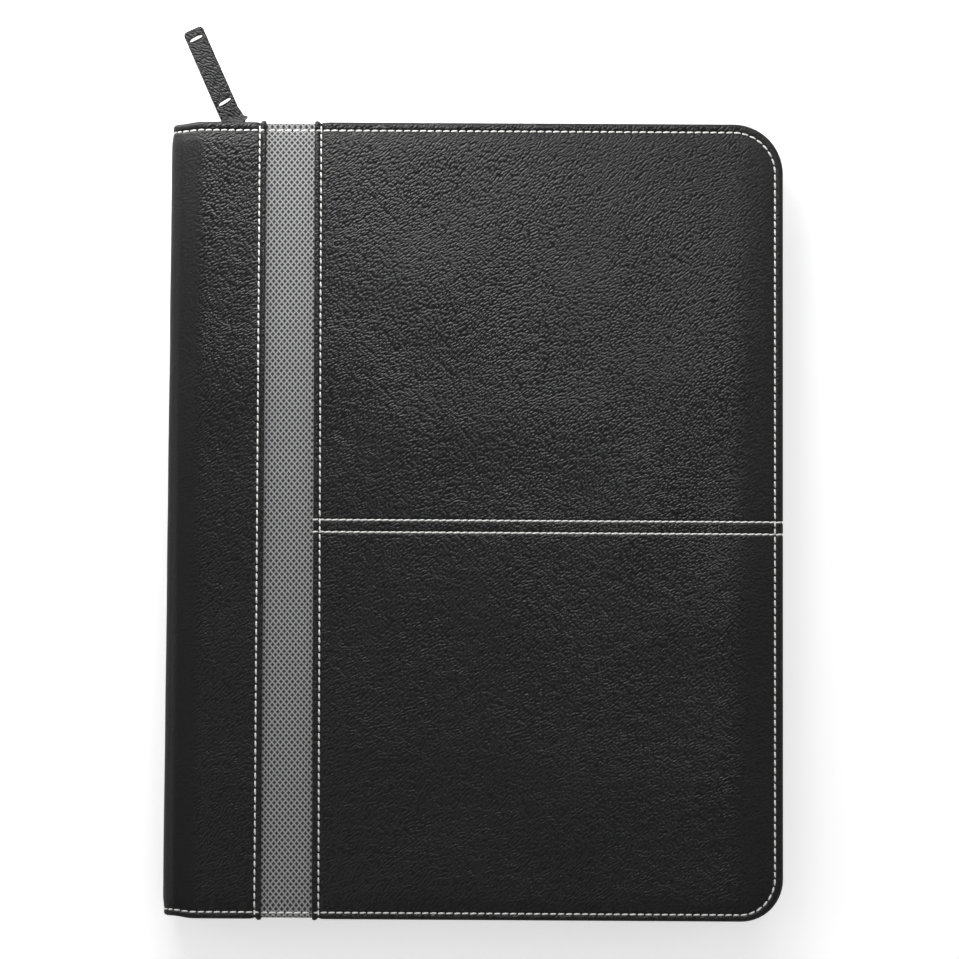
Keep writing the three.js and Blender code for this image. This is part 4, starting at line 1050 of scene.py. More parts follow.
class PADFOLIO_OT_linings(bpy.types.Operator):
    """Makes the cloth that lines both covers and the spine, with its two folds in the gutters."""

    bl_idname = "padfolio.linings"
    bl_label = "Linings"

    def execute(self, context):
        material = finish("nylon_lining_black")
        left = corners_of("back_lining")[0][0]
        for node, face, way, body in (("back_lining", BACK_LINING_Z, 1, "back"),
                                      ("front_lining", FRONT_LINING_Z, -1, "front")):
            sheet = inner_sheet(face, way, 6.9, left, lining_rings)
            points, faces, flat, _ = sheet.skin(0.4)
            cloth = piece(node + "_cloth", points, faces, material, flat)
            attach(cloth, body)
            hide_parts(node)
        y = np.linspace(-163.2, 163.2, 90)
        z = np.linspace(6.2, THICKNESS - 6.2, 9)
        x = SPINE_X + 2.9 + 0.08 * np.sin(0.11 * y)[:, None] * np.sin(math.pi * (z - 6) / 17)[None, :]
        points, faces, flat = thick_grid(stacked(x, y[:, None], z), z, y[:, None], 0.42, turned=True)
        spine = piece("spine_lining_cloth", points, faces, material, flat)
        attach(spine, "spine")
        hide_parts("spine_lining")
        turn = np.radians(np.array([8, 20, 32, 44, 56, 68, 80]))
        fold_x = FOLD_X - GUTTER_RADIUS * np.sin(turn)
        fold_z = FOLD_RADIUS - GUTTER_RADIUS * np.cos(turn)
        x = np.concatenate([[-119.5, -121.6, -122.2, -122.45, -122.5, -122.6], fold_x,
                            [-127.1, -126.75, -126.2, -126.02, -126.0, -126.0]])
        y = np.linspace(-159.5, 159.5, 80)[:, None]
        for name, face, flip in (("back_gutter_cloth", BACK_LINING_Z, False),
                                 ("front_gutter_cloth", THICKNESS - FRONT_LINING_Z, True)):
            z = np.concatenate([[face + 0.07, face + 0.06, face - 0.25, face - 0.8, (face + 2.2) / 2, 2.3],
                                fold_z, [5.55, 5.9, 6.1, 6.5, 7.4, 9.0]])
            z = THICKNESS - z if flip else z
            run = run_of(x, z)
            points, faces, flat = thick_grid(stacked(x, y, z), run, y, 0.3, turned=not flip)
            gutter = piece(name, points, faces, material, flat)
            if flip:
                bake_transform(gutter)
            else:
                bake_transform(gutter)
        return {"FINISHED"}


class PADFOLIO_OT_fillings(bpy.types.Operator):
    """Makes the foam under both covers' leather and finishes the boards."""

    bl_idname = "padfolio.fillings"
    bl_label = "Foam and boards"

    def execute(self, context):
        for node, face, way, body in (("back_foam", 1.2, -1, "back"), ("front_foam", 26.7, 1, "front")):
            low, high = corners_of(node)
            sheet = inner_sheet(face, way, EDGE_X - high[0], low[0] + 0.2, foam_rings, columns=30, rows=40,
                                swell=0.3)
            points, faces, flat, _ = sheet.skin(1.1)
            foam = piece(node + "_pad", points, faces, finish("polyurethane_foam_grey"), flat)
            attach(foam, body)
            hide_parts(node)
        for node in ("back_board", "front_board", "spine_board"):
            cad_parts[node].material_slots[0].material = finish("board_black_lined")
        return {"FINISHED"}


# The zip

def zip_run(distance, offset):
    """A place on the zip's run: along the head, round the head corner, down the side, round the foot
    corner and back along the foot. Gives x and y at each distance, moved outwards by the offset."""
    x, y, head, foot = ZIP_OUTLINE
    lengths = [x - head - ZIP_START, head * math.pi / 2, 2 * y - head - foot, foot * math.pi / 2]
    marks = np.concatenate([[0], np.cumsum(lengths)])
    distance, offset = np.broadcast_arrays(np.asarray(distance, float), np.asarray(offset, float))
    part = np.clip(np.searchsorted(marks, distance, side="right") - 1, 0, 4)
    rest = distance - marks[part]
    head_turn, foot_turn = math.pi / 2 - rest / head, -rest / foot
    xs = [ZIP_START + rest, x - head + (head + offset) * np.cos(head_turn), x + offset,
          x - foot + (foot + offset) * np.cos(foot_turn), x - foot - rest]
    ys = [y + offset, y - head + (head + offset) * np.sin(head_turn), y - head - rest,
          -y + foot + (foot + offset) * np.sin(foot_turn), -y - offset]
    return np.choose(part, xs), np.choose(part, ys)


def zip_length():
    """Length of the zip's run."""
    x, y, head, foot = ZIP_OUTLINE
    return (x - head - ZIP_START) + (x - foot - ZIP_START) + (head + foot) * math.pi / 2 + 2 * y - head - foot


def along_run(stations, section):
    """A section of (offset, height) carried along the zip's run."""
    offset, height = np.array(section, float).T
    return stacked(*zip_run(stations[:, None], offset[None, :]), height)


def tooth_shape():
    """One moulded tooth: octagons stacked from the foot that grips the cord, over the neck, to the
    rounded head. Columns are along the run, out from the tape, and up."""
    # Each octagon's level, half length, half depth and cut corners
    level, a, b, c = np.array([
        (-1.9, 0.78, 1.02, 0.3), (-1.45, 0.72, 1.1, 0.3), (-1.0, 0.5, 1.0, 0.25), (-0.45, 0.5, 1.0, 0.25),
        (0.05, 0.82, 1.08, 0.3), (0.45, 0.9, 1.1, 0.35), (0.8, 0.74, 0.98, 0.35), (1.0, 0.42, 0.6, 0.3),
    ]).T[..., None]
    along = np.hstack([a, a, a - c, -a + c, -a, -a, -a + c, a - c])
    out = np.hstack([-b + c, b - c, b, b, b - c, -b + c, -b, -b])
    points = stacked(along, out, level).reshape(-1, 3)
    last = (len(level) - 1) * 8
    caps = np.array([[last, last + 1, last + 2, last + 3], [last, last + 3, last + 4, last + 7],
                     [last + 4, last + 5, last + 6, last + 7], [3, 2, 1, 0], [7, 4, 3, 0], [7, 6, 5, 4]])
    return points, np.vstack([grid_faces(len(level), 8, closed=True), caps])


class PADFOLIO_OT_zip(bpy.types.Operator):
    """Makes both zip tapes with their cords, the two rows of teeth and the four stops."""

    bl_idname = "padfolio.zip"
    bl_label = "Zip"

    def execute(self, context):
        tape_cloth, acetal = finish("woven_zip_tape_black"), finish("acetal_teeth_black")
        metal = finish("gunmetal_plated_zinc")
        length = zip_length()
        stations = np.linspace(0, length, 420)
        # A tape lies along the cover, turns through a quarter circle and stands up to the zip
        turn = np.radians([0, 30, 60, 90])
        top = ZIP_Z - TAPE_LEVEL - BACK_DEPTH
        offset = np.concatenate([[4.15, 3.2, 2.2], 1.5 - 1.2 * np.sin(turn), [0.36, 0.38, 0.3, 0.24]])
        rise = np.concatenate([[0.58, 0.6, 0.6], 0.6 + 1.2 * (1 - np.cos(turn)), [2.9, 4.2, 5.6, top + 0.25]])
        for side, body, level in ((1, "back", BACK_DEPTH), (-1, "front", FRONT_INSIDE)):
            points = along_run(stations, stacked(offset, level + side * rise))
            points[..., 2] += side * 0.06 * np.sin(stations * 0.35)[:, None] * (rise > 1)[None, :]
            points, faces, flat = thick_grid(
                points, run_of(offset, rise), stations[:, None], 0.5, turned=side < 0)
            tape = piece(body + "_tape_cloth", points, faces, tape_cloth, flat)
            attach(tape, body)
            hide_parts(body + "_zip_tape")

            mouth = SLIDER_X - SLIDER_HALF - ZIP_START
            first_at = mouth + STOP_ROOM + (0 if side > 0 else TOOTH_PITCH / 2)
            last_at = length - mouth
            count = int((last_at - first_at) // TOOTH_PITCH)
            centre = first_at + np.arange(count) * TOOTH_PITCH + 3.45
            shape, one = tooth_shape()
            x, y = zip_run(centre[:, None] + shape[None, :, 0], shape[None, :, 1])
            teeth = stacked(x, y, ZIP_Z + side * shape[:, 2]).reshape(-1, 3)
            teeth_faces = facing_out(teeth, repeated(one, count, len(shape)))
            angle = np.radians(np.arange(0, 360, 45) + 22.5)
            cord_z = ZIP_Z - side * CORD_LEVEL
            ran = np.linspace(first_at + 0.5, first_at + count * TOOTH_PITCH, 380)
            swollen = 1 + 0.07 * np.cos(2 * math.pi * (ran - centre[0]) / TOOTH_PITCH)
            middle = along_run(ran, [[0, cord_z]])
            rope = along_run(ran, stacked(0.9 * np.cos(angle), cord_z + 0.78 * np.sin(angle)))
            rope = middle + (rope - middle) * swollen[:, None, None]
            ends = np.repeat(middle[[0, -1]], len(angle), axis=1)
            rope = np.concatenate([ends[:1], rope, ends[1:]])
            rope = shell(rope, grid_faces(*rope.shape[:2], closed=True))
            row = piece(body + "_teeth_row", *together((teeth, teeth_faces), rope), acetal, sharp=50)
            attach(row, body)
            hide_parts(body + "_zip_teeth")

            for end, where in ((1, "head"), (-1, "foot")):
                stop_y = end * (HALF_HEIGHT - ZIP_INSET)
                low, high = corners_of(f"{body}_{where}_stop")
                over = ZIP_Z - side * TAPE_LEVEL + side * 0.06
                turn = np.radians(np.linspace(0, 180, 9))
                path = np.concatenate([
                    [[0.76, -2.2], [0.76, -1.4]],
                    stacked(0.76 * np.cos(turn), -0.35 + 0.76 * np.sin(turn)),
                    [[-0.76, -1.4], [-0.76, -2.2]],
                ])
                line = stacked((low[0] + high[0]) / 2, stop_y + path[:, 0], over + side * path[:, 1])
                clip = bar(line, (1, 0, 0), 2.9, 0.86, 0.2)
                stop = piece(f"{body}_{where}_stop_clip", *clip, metal, sharp=40)
                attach(stop, body)
                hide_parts(f"{body}_{where}_stop")
        return {"FINISHED"}


# Slider and pull tab

def resampled(points, count):
    """A closed outline as count points at even spacing, with its corners eased a little."""
    closed = np.vstack([points, points[:1]])
    step = np.concatenate([[0], np.cumsum(np.linalg.norm(np.diff(closed, axis=0), axis=1))])
    at = np.linspace(0, step[-1], count, endpoint=False)
    even = np.stack([np.interp(at, step, closed[:, i]) for i in range(2)], axis=1)
    for _ in range(2):
        even = (np.roll(even, 1, axis=0) + 2 * even + np.roll(even, -1, axis=0)) / 4
    return even


def slider_outline():
    """Half widths of the slider's plate along its length, from the mouth to the rear, and back."""
    x = np.array([-7.5, -7.35, -6.9, -5.9, -4.0, -2.6, -0.6, 0.8, 2.5, 5.0, 6.3, 7.1, 7.5])
    half = np.array([2.6, 3.9, 4.75, 5.25, 5.25, 4.95, 4.35, 4.2, 4.2, 4.2, 4.15, 3.8, 2.8])
    mouth = [[-7.45, -1.9], [-6.9, -0.9], [-6.1, 0.0], [-6.9, 0.9], [-7.45, 1.9]]
    return np.vstack([stacked(x, half), stacked(x, -half)[::-1], mouth])


def plate(outline, middle, count, levels, scales):
    """A solid whose outline is stacked at levels along y, drawn in to its middle by scales and closed
    by a fan at both ends."""
    even = resampled(outline, count)
    rings = [middle + (even - middle) * s for s in (0.0, *scales, 0.0)]
    levels = (levels[0], *levels, levels[-1])
    points = np.stack([stacked(ring[:, 0], y, ring[:, 1]) for ring, y in zip(rings, levels)])
    return shell(points, grid_faces(len(rings), count, closed=True))


class PADFOLIO_OT_slider(bpy.types.Operator):
    """Makes the zip's slider: two shaped plates with side flanges, the wedge between them, and the
    crown that holds the tab."""

    bl_idname = "padfolio.slider"
    bl_label = "Slider"

    def execute(self, context):
        centre = np.array([SLIDER_X, HALF_HEIGHT - ZIP_INSET, ZIP_Z])
        outline = slider_outline()
        x = np.array([-6.6, -5.9, -4.0, -2.6, -0.6, 0.8, 3.0, 5.0, 6.3, 6.9])
        z = np.array([4.35, 4.82, 4.85, 4.55, 3.95, 3.8, 3.8, 3.8, 3.75, 3.6])
        depth = np.array([0.7, 1.05, 1.1, 1.1, 1.1, 1.1, 1.1, 1.1, 1.05, 0.7])
        parts = []
        for way in (1, -1):
            levels = [way * v for v in (1.42, 1.42, 1.5, 2.1, 2.38, 2.52, 2.55)]
            parts.append(plate(outline, (0.6, 0.0), 96, levels, (0.955, 0.985, 1.0, 1.0, 0.975, 0.92, 0.86)))
            for hand in (1, -1):
                parts.append(bar(stacked(x, way * 1.17, z * hand), (0, 1, 0), depth, 0.76, 0.16))
        wedge = np.array([[-6.1, 0.0], [-5.6, 0.75], [-4.9, 1.0], [-4.3, 1.0], [-2.6, 0.45], [-1.1, 0.0],
                          [-2.6, -0.45], [-4.3, -1.0], [-4.9, -1.0], [-5.6, -0.75]])
        parts.append(plate(wedge, (-3.6, 0.0), 40, (-1.7, -1.2, 1.2, 1.7), (1.12, 1.0, 1.0, 1.12)))
        points, faces = together(*parts)
        slider = piece("slider_body", points + centre, faces, finish("gunmetal_plated_zinc"), sharp=35)
        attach(slider, "slider")
        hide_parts("zip_slider")

        low, high = corners_of("zip_slider_crown")
        beam = CROWN_Y
        foot = low[1] - 0.05
        half = (high[0] - low[0]) / 2 - 0.65
        turn = np.radians(np.linspace(0, 90, 7))
        bend = 1.1
        left = np.vstack([[[-half, foot], [-half, foot + 0.5], [-half, beam - bend - 0.2]],
                          stacked(-half + bend - bend * np.cos(turn), beam - bend + bend * np.sin(turn))])
        path = np.vstack([left, [[-2.0, beam], [0, beam], [2.0, beam]], (left * [-1, 1])[::-1]])
        line = stacked(SLIDER_X + path[:, 0], path[:, 1], ZIP_Z)
        spread = 1 + 0.55 * np.clip((foot + 1.2 - path[:, 1]) / 1.2, 0, 1)
        loop = bar(line, (0, 0, 1), 2.1 * spread, 1.16, 0.32)
        crown = piece("slider_crown", *loop, finish("gunmetal_plated_zinc"), sharp=50)
        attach(crown, "slider")
        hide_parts("zip_slider_crown")
        return {"FINISHED"}


TAB_LENGTH = 46.2        # from the beam's middle
TAB_HALF = 4.5
TAB_LEAN = 24.2          # degrees
TAB_BEND = 7.0           # the length over which the tab bends to its lean
TAB_TIP = 1.9            # the tip's rounding
TAB_SKIN = 1.05
TAB_BARS = ((41.8, -0.15, 0.08), (11.8, 0.1, 0.16))     # each bar stitch's reach, shift and lean
BAR_HALF = 2.9


def tab_line(reach):
    """Plan of the pull tab: it leaves the beam squarely and bends over to its lean. Gives x, y and the
    angle at each reach, measured from the beam."""
    fine = np.linspace(0, TAB_LENGTH, 600)
    angle = math.radians(TAB_LEAN) * smooth(fine / TAB_BEND)
    step = fine[1]
    x = -np.concatenate([[0], np.cumsum(np.sin((angle[1:] + angle[:-1]) / 2) * step)])
    y = np.concatenate([[0], np.cumsum(np.cos((angle[1:] + angle[:-1]) / 2) * step)])
    here = np.clip(reach, 0, TAB_LENGTH)
    return (np.interp(here, fine, x), np.interp(here, fine, y) + np.minimum(reach, 0),
            np.interp(here, fine, angle))


def on_tab(reach, wide, rise):
    """A point of the tab from its reach along the tab, its place across and its height."""
    x, y, angle = tab_line(reach)
    return stacked(SLIDER_X + x + wide * np.cos(angle), CROWN_Y + y + wide * np.sin(angle), ZIP_Z + rise)


class PADFOLIO_OT_pull_tab(bpy.types.Operator):
    """Makes the leather pull tab, one strip folded round the crown's beam, and its two bar stitches."""

    bl_idname = "padfolio.pull_tab"
    bl_label = "Pull tab"

    def execute(self, context):
        # The strip's middle line: a flat leg, an eye round the beam and the flat leg back
        eye, layer, skin = 2.15, 0.72, TAB_SKIN / 2
        start = math.radians(58)
        tip = TAB_LENGTH - TAB_TIP * (1 - np.sin(np.radians([90, 75, 60, 45, 30, 15])))
        out = np.concatenate([tip, np.linspace(TAB_LENGTH - TAB_TIP, 6.2, 84), [5.8, 5.45, 5.15, 4.9, 4.6]])
        ease = np.array([4.3, 4.0, 3.7, 3.4, 3.1, 2.8, 2.4, 2.0, 1.65])
        turn = np.linspace(start, 2 * math.pi - start, 23)
        lifted = layer + (eye * math.sin(start) - layer) * smooth((4.6 - ease) / 3.5)
        reach = np.concatenate([out, ease, eye * np.cos(turn), ease[::-1], out[::-1]])
        z = np.concatenate([np.full(len(out), layer), lifted, eye * np.sin(turn), -lifted[::-1],
                            np.full(len(out), -layer)])
        *_, nr, nz = section_ways(-reach, z)
        nr, nz = (nr, nz) if nz[10] > 0 else (-nr, -nz)
        across = np.array([0, 0.14, 0.28, 0.42, 0.56, 0.7, 0.82, 0.9, 0.95, 0.985, 1])
        across = np.concatenate([-across[:0:-1], across])
        from_tip = np.clip(1 - (TAB_LENGTH - reach) / TAB_TIP, 0, 1)
        half = TAB_HALF - 0.85 * TAB_TIP * (1 - np.sqrt(1 - from_tip ** 2))
        upper = np.arange(len(reach)) < len(reach) // 2
        flare = 1.0 * smooth((reach - 0.4) / 2) * (1 - smooth((reach - 3.2) / 5))
        curl = 1.6 * hill(reach - 3.0, 0.6) * upper
        wide = across * np.where(across < 0, half[:, None], (half + flare + curl)[:, None])
        rolled = -0.32 * np.clip((np.abs(across) - 0.8) / 0.2, 0, 1) ** 2.2
        swell = 0.05 * np.sin(0.9 * reach)[:, None] * np.cos(2.5 * across)
        for place, _, lean in TAB_BARS:
            shown = smooth((0.95 - np.abs(across)) / 0.3)
            swell = swell - 0.3 * hill(reach[:, None] - place - lean * wide, 0.8) * shown
        curled = (0.9 * hill(reach - 3.0, 1.2) * upper)[:, None]
        curled = curled * np.clip((across - 0.55) / 0.45, 0, 1) ** 1.5
        above = skin + rolled + swell + curled
        points = on_tab(reach[:, None] + nr[:, None] * above, wide, z[:, None] + nz[:, None] * above)
        points, faces, flat = thick_grid(points, wide, run_of(reach, z)[:, None], TAB_SKIN, turned=True)
        tab = piece("tab_leather", points, faces, case_leather(), flat, np.ones(len(points)), sharp=60)
        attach(tab, "pull")
        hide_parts("pull_tab")
        bars = []
        for place, shift, lean in TAB_BARS:
            for way in (1, -1):
                t = np.linspace(-1, 1, 11)
                full = 1 - np.abs(t) ** 3
                rise = layer + skin - 0.12 + 0.3 * full
                line = on_tab(place + lean * BAR_HALF * t, shift + BAR_HALF * t, way * rise)
                bars.append(bar(line, (0.41, -0.91, 0), 0.45 + 0.75 * full, 0.3 + 0.35 * full, 0.12))
        stitches = piece("tab_bar_stitches", *together(*bars), finish("polyester_thread_white"))
        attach(stitches, "pull")
        return {"FINISHED"}


# The writing pad and the pockets

def framed_sheet(x0, x1, y0, y1, face, way, depth, mouth, radius):
    """A flat pocket sheet: rings round all four sides and a plain grid inside them. The edge rolls
    over and goes down to the lining, except along the mouth at the head, where it only turns under.
    Gives points, faces, places on the cut sheet, and the seam's line and normals."""
    reach, seam = 7.0, 2.4
    xs, ys = np.linspace(x0 + reach, x1 - reach, 30), np.linspace(y0 + reach, y1 - reach, 36)
    inset = np.array([reach, 5.0, 4.0, 3.4, 3.0, 2.7, 2.4, 2.1, 1.8, 1.4,
                      0.95, 0.65, 0.38, 0.17, 0.04, 0, 0, 0.12, 0.5])
    height = -0.12 * (1 - smooth((inset - 2) / 4)) - 0.22 * hill(inset - seam, 0.35)
    height[-9:] = -0.12, -0.15, -0.22, -0.35, -0.52, -0.7, -0.5 * depth - 0.2, -depth + 0.05, -depth
    height = np.maximum(height, -depth)
    corner = np.radians(np.linspace(0, 90, 9))
    d = inset[None, :]
    r = radius * (1 - d / reach)
    parts, limits = [], []

    def add(x, y, limit):
        parts.append(stacked(x, y))
        limits.append(np.broadcast_to(limit, len(parts[-1])))

    def turn(first, x, y, sign_x, sign_y, limit):
        angle = math.radians(first) + corner[:, None]
        add(x - sign_x * (d + r) + r * np.cos(angle), y - sign_y * (d + r) + r * np.sin(angle), limit)

    share = smooth(np.linspace(0, 1, 9))
    add(xs[:, None], y0 + d, depth)
    turn(-90, x1, y0, 1, -1, depth)
    add(x1 - d, ys[:, None], depth)
    turn(0, x1, y1, 1, 1, depth + (mouth - depth) * share)
    add(xs[::-1, None], y1 - d, mouth)
    turn(90, x0, y1, -1, 1, mouth + (depth - mouth) * share)
    add(x0 + d, ys[::-1, None], depth)
    turn(180, x0, y0, -1, -1, depth)
    flat = np.concatenate(parts)
    away = np.maximum(height[None, :], -np.concatenate(limits)[:, None])
    band = stacked(flat[..., 0], flat[..., 1], face + way * away)
    inner_x, inner_y = np.meshgrid(xs, ys)
    bulge = 0.12 * np.sin(0.05 * inner_x + 0.4) * np.sin(0.043 * inner_y + 1.1)
    edge_x = np.minimum(inner_x - xs[0], xs[-1] - inner_x)
    edge_y = np.minimum(inner_y - ys[0], ys[-1] - inner_y)
    bulge = bulge * smooth(np.minimum(edge_x, edge_y) / 15)
    inner = stacked(inner_x, inner_y, face + way * bulge)
    loop = grid_faces(len(band) + 1, len(inset)) % (len(band) * len(inset))
    points, faces, kept = welded(*together((inner, grid_faces(*inner_x.shape)), (band, loop)))
    flat = np.vstack([inner[..., :2].reshape(-1, 2), flat.reshape(-1, 2)])[kept]
    points, faces = thickened(points, faces if way > 0 else faces[:, ::-1], 0.4)
    seam_ring = int(np.argmin(np.abs(inset - seam)))
    line = np.vstack([band[:, seam_ring], band[:1, seam_ring]])
    normal = np.tile([0.0, 0.0, float(way)], (len(line), 1))
    return points, faces, np.tile(flat, (2, 1)), line, normal


class PADFOLIO_OT_pockets(bpy.types.Operator):
    """Makes the pocket that holds the pad, the document pocket, the three card pockets and the pen
    loop, with their stitching."""

    bl_idname = "padfolio.pockets"
    bl_label = "Pockets"

    def execute(self, context):
        # The second colour, #121212, is the painted shade in the grain's creases
        leather = leather_material("pocket_leatherette_black", linear("#2b2b2b"), "#121212",
                                   grain_width=1.3, grain_height=0.8, depth=0.1, roughness=0.5)
        plan = [("pad_pocket_panel", "back", 1, 2.0, 0.8), ("document_pocket", "front", -1, 2.0, 0.8)]
        plan += [(f"card_pocket_{k}", "front", -1, 0.8, 0.5) for k in (1, 2, 3)]
        for node, body, way, depth, mouth in plan:
            low, high = corners_of(node)
            face = high[2] if way > 0 else low[2]
            radius = 2.5 if "card" in node else 6.0
            points, faces, flat, line, normal = framed_sheet(
                low[0], high[0], low[1], high[1], face, way, depth, mouth, radius)
            sheet = piece(node + "_sheet", points, faces, leather, flat, np.ones(len(points)))
            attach(sheet, body)
            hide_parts(node)
            sew(node, [(line, normal, even_phase(line))], body=body, thread=finish("polyester_thread_black"),
                width=0.6, height=0.4)
        low, high = corners_of("pen_loop")
        centre, radius = (low[0] + high[0]) / 2, (high[0] - low[0]) / 2
        level = low[2] + 0.9 + (radius - 0.9)
        turn = np.radians(np.linspace(205, -25, 40))
        lift = np.concatenate([[low[2] + 0.04] * 2, level + radius * np.sin(turn), [low[2] + 0.04] * 2])
        x = centre + np.concatenate([[1.5, -4.2], radius * np.cos(turn), [4.2, -1.5]])
        lift[[1, -2]] += 0.1
        y = np.linspace(low[1], high[1], 30)[:, None]
        points, faces, flat = thick_grid(stacked(x, y, lift), run_of(x, lift), y, 0.8)
        faces = facing_out(points, faces)
        loop = piece("pen_loop_elastic", points, faces, finish("elastic_webbing_black"), flat)
        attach(loop, "back")
        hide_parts("pen_loop")
        return {"FINISHED"}


class PADFOLIO_OT_writing_pad(bpy.types.Operator):
    """Makes the writing pad: its stack of ruled sheets, the tape that binds them and the backing."""

    bl_idname = "padfolio.writing_pad"
    bl_label = "Writing pad"

    def execute(self, context):
        low, high = corners_of("pad_sheets")
        layers = 26
        levels, shifts = [], []
        rng = np.random.default_rng(7)
        for k in range(layers):
            a, b = (low[2] + (high[2] - low[2]) * i / layers for i in (k, k + 1))
            shift = rng.uniform(-0.12, 0.0, 3)
            levels += [a, a + 0.2 * (b - a), b - 0.2 * (b - a)]
            shifts += [np.full(3, -0.22), shift, shift]
        levels.append(high[2])
        shifts.append(np.zeros(3))
        levels, shifts = np.array(levels), np.array(shifts)
        x0, x1, y0 = low[0] - shifts[:, 0], high[0] + shifts[:, 1], low[1] - shifts[:, 2]
        y1 = np.full(len(levels), high[1])
        points = stacked(stacked(x0, x1, x1, x0), stacked(y0, y0, y1, y1), levels[:, None]).reshape(-1, 3)
        top = len(points) - 4
        faces = np.vstack([grid_faces(len(levels), 4, closed=True), [[3, 2, 1, 0]],
                           [[top, top + 1, top + 2, top + 3]]])
        sheets = piece("pad_paper", points, facing_out(points, faces), ruled_paper(high), sharp=20)
        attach(sheets, "back")
        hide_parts("pad_sheets")

        low, high = corners_of("pad_binding")
        turn = np.radians(np.linspace(90, 0, 6))
        y = np.concatenate([[low[1], low[1] + 6, low[1] + 13], high[1] - 0.7 + 0.7 * np.cos(turn),
                            [high[1], high[1]]])
        z = np.concatenate([[high[2] - 0.1, high[2], high[2]], high[2] - 0.7 + 0.7 * np.sin(turn),
                            [9.0, low[2] + 0.1]])
        x = np.linspace(low[0], high[0], 60)[:, None]
        points, faces, flat = thick_grid(stacked(x, y, z), x, run_of(y, z), 0.34, turned=True)
        faces = facing_out(points, faces)
        binding = piece("pad_binding_tape", points, faces, finish("binding_tape_black"), flat)
        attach(binding, "back")
        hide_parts("pad_binding")
        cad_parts["pad_backing"].material_slots[0].material = finish("chipboard_backing")
        return {"FINISHED"}


def set_up(obj, right, up, back, place):
    """Stands a lamp or camera at the place, from its right, its up and the way it turns its back to."""
    turned = np.eye(4)
    turned[:3] = stacked(right, up, back, place)
    obj.matrix_world = Matrix(turned.tolist())


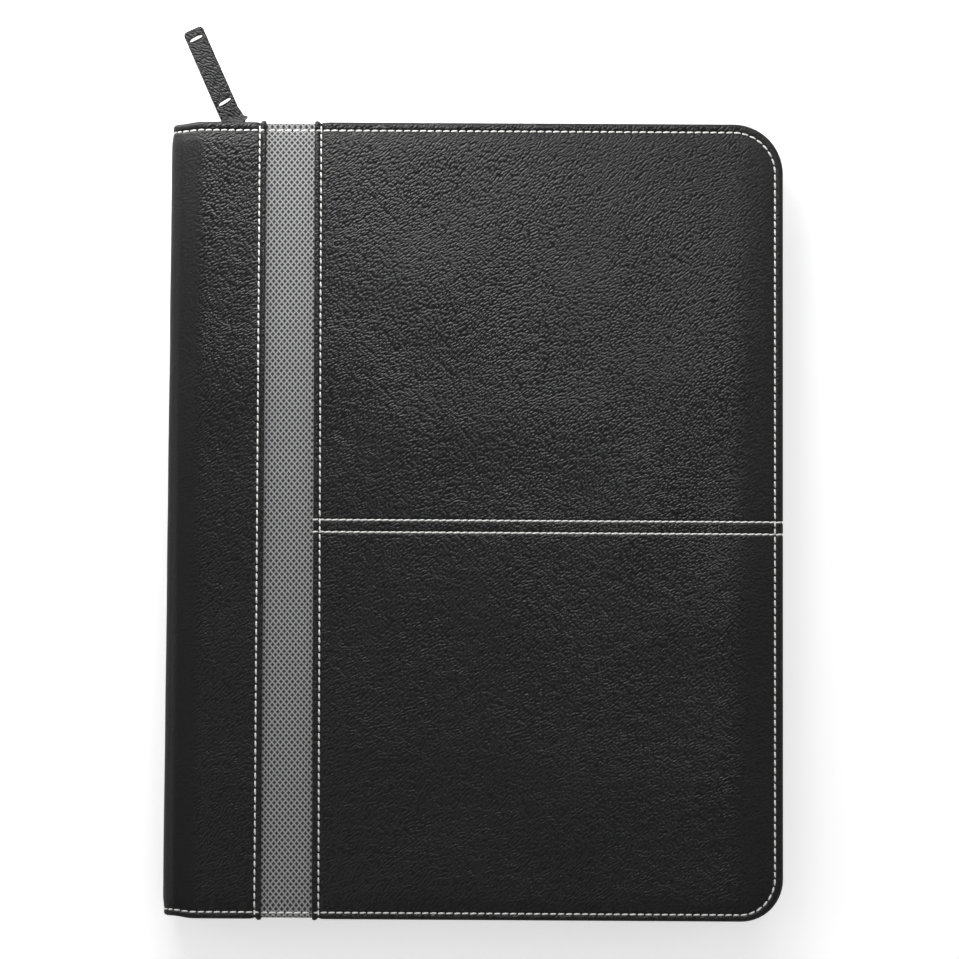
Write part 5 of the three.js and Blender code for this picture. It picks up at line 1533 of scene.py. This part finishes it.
class PADFOLIO_OT_stage(bpy.types.Operator):
    """Sets up the floor, the lamps and the camera."""

    bl_idname = "padfolio.stage"
    bl_label = "Stage"

    def execute(self, context):
        stage = context.scene.padfolio_stage
        scene = context.scene
        # A round white floor that curves up into a low wall, so that no side view shows its end
        radius, cove = stage.floor / 2 / MM, 500.0
        turn = np.radians(np.linspace(0, 90, 13))
        level = radius - cove
        out = np.concatenate([[0, 400, 1200, level], level + cove * np.sin(turn[1:]), [radius]])
        rise = np.concatenate([[0, 0, 0, 0], cove * (1 - np.cos(turn[1:])), [2200]]) - 0.4
        around = np.radians(np.linspace(0, 360, 97))[:-1]
        points = stacked(out[:, None] * np.cos(around), out[:, None] * np.sin(around), rise[:, None])
        points, faces, _ = welded(points.reshape(-1, 3), grid_faces(len(out), len(around), closed=True))
        material, tree = new_material("floor_white_paper")
        paths = add_node(tree, "ShaderNodeLightPath").outputs
        seen = maths(tree, "MAXIMUM", paths["Is Camera Ray"], paths["Is Transmission Ray"])
        white = add_node(tree, "ShaderNodeEmission", {"Color": (1, 1, 1, 1)},
                         {"Strength": maths(tree, "MULTIPLY", seen, 0.55)})
        matt = add_node(tree, "ShaderNodeBsdfDiffuse", {"Color": linear("#ececec"), "Roughness": 0.4})
        both = add_node(tree, "ShaderNodeAddShader", {}, {0: matt.outputs[0], 1: white.outputs[0]})
        close_with(tree, both)
        floor = piece("floor", points, faces[:, ::-1], material)

        world = bpy.data.worlds.new("plain_world")
        scene.world = world
        world.use_nodes = True
        tree = world.node_tree
        tree.nodes.clear()
        sky = add_node(tree, "ShaderNodeBackground", {"Color": (1, 1, 1, 1), "Strength": 0.28})
        add_node(tree, "ShaderNodeOutputWorld", {}, {"Surface": sky.outputs[0]})

        def lamp(name, place, aim, width, height, power):
            light = bpy.data.lights.new(name, "AREA")
            light.shape = "RECTANGLE"
            light.size = width
            light.size_y = height
            light.energy = power
            holder = bpy.data.objects.new(name, light)
            holder.visible_camera = False
            scene.collection.objects.link(holder)
            away = unit(np.array(place, float) - np.array(aim, float))
            across = unit(np.cross((0.0, 1.0, 0.02), away))
            set_up(holder, across, np.cross(away, across), away, place)

        lamp("strip_head", (-0.15, 0.31, 0.15), (-0.04, 0.1, 0.03), 0.5, 0.07, 1.25)
        lamp("softbox_head", (-0.1, 1.5, 1.1), (0, 0, 0), 1.6, 0.9, 15.5)
        lamp("softbox_left", (-1.6, 0.2, 0.9), (0, 0, 0), 1.0, 1.2, 4.8)
        lamp("softbox_right", (1.6, 0.2, 0.9), (0, 0, 0), 1.0, 1.2, 3)

        # The view was fitted to the cover's outline in the photograph
        tilt, pan, roll = (math.radians(a) for a in (3.6274, 0.1976, 0.3398))
        target = np.array([1.9067, 16.2, 28.9]) * MM
        back = unit(np.array([math.sin(pan) * math.cos(tilt), -math.sin(tilt),
                              math.cos(pan) * math.cos(tilt)]))
        right = unit(np.cross((0, 1, 0), back))
        up = np.cross(back, right)
        data = bpy.data.cameras.new("camera")
        data.sensor_width = 36
        data.sensor_fit = "HORIZONTAL"
        data.lens = stage.focal
        camera = bpy.data.objects.new("camera", data)
        scene.collection.objects.link(camera)
        right, up = (math.cos(roll) * right + math.sin(roll) * up,
                     -math.sin(roll) * right + math.cos(roll) * up)
        set_up(camera, right, up, back, target + back * stage.distance)
        scene.camera = camera
        scene.view_settings.view_transform = "Standard"
        return {"FINISHED"}


OPERATORS = (
    PADFOLIO_OT_front_panel,
    PADFOLIO_OT_flap,
    PADFOLIO_OT_back,
    PADFOLIO_OT_pocket_cloth,
    PADFOLIO_OT_linings,
    PADFOLIO_OT_fillings,
    PADFOLIO_OT_zip,
    PADFOLIO_OT_slider,
    PADFOLIO_OT_pull_tab,
    PADFOLIO_OT_writing_pad,
    PADFOLIO_OT_pockets,
    PADFOLIO_OT_stage,
)


class PADFOLIO_PT_pieces(bpy.types.Panel):
    """Lists the pieces and their settings."""

    bl_idname = "PADFOLIO_PT_pieces"
    bl_label = "Padfolio"
    bl_space_type = "VIEW_3D"
    bl_region_type = "UI"
    bl_category = "Padfolio"

    def draw(self, context):
        for group in ("padfolio_leather", "padfolio_stage"):
            box = self.layout.box()
            settings = getattr(context.scene, group)
            for name in settings.__annotations__:
                box.prop(settings, name)
        for operator in OPERATORS:
            self.layout.operator(operator.bl_idname)


CLASSES = (PadfolioLeather, PadfolioStage, *OPERATORS, PADFOLIO_PT_pieces)


def register():
    for cls in CLASSES:
        bpy.utils.register_class(cls)
    bpy.types.Scene.padfolio_leather = PointerProperty(type=PadfolioLeather)
    bpy.types.Scene.padfolio_stage = PointerProperty(type=PadfolioStage)


def unregister():
    del bpy.types.Scene.padfolio_stage
    del bpy.types.Scene.padfolio_leather
    for cls in reversed(CLASSES):
        bpy.utils.unregister_class(cls)


def main():
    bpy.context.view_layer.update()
    register()
    for operator in OPERATORS:
        group, name = operator.bl_idname.split(".")
        getattr(getattr(bpy.ops, group), name)()


if __name__ == "__main__":
    main()
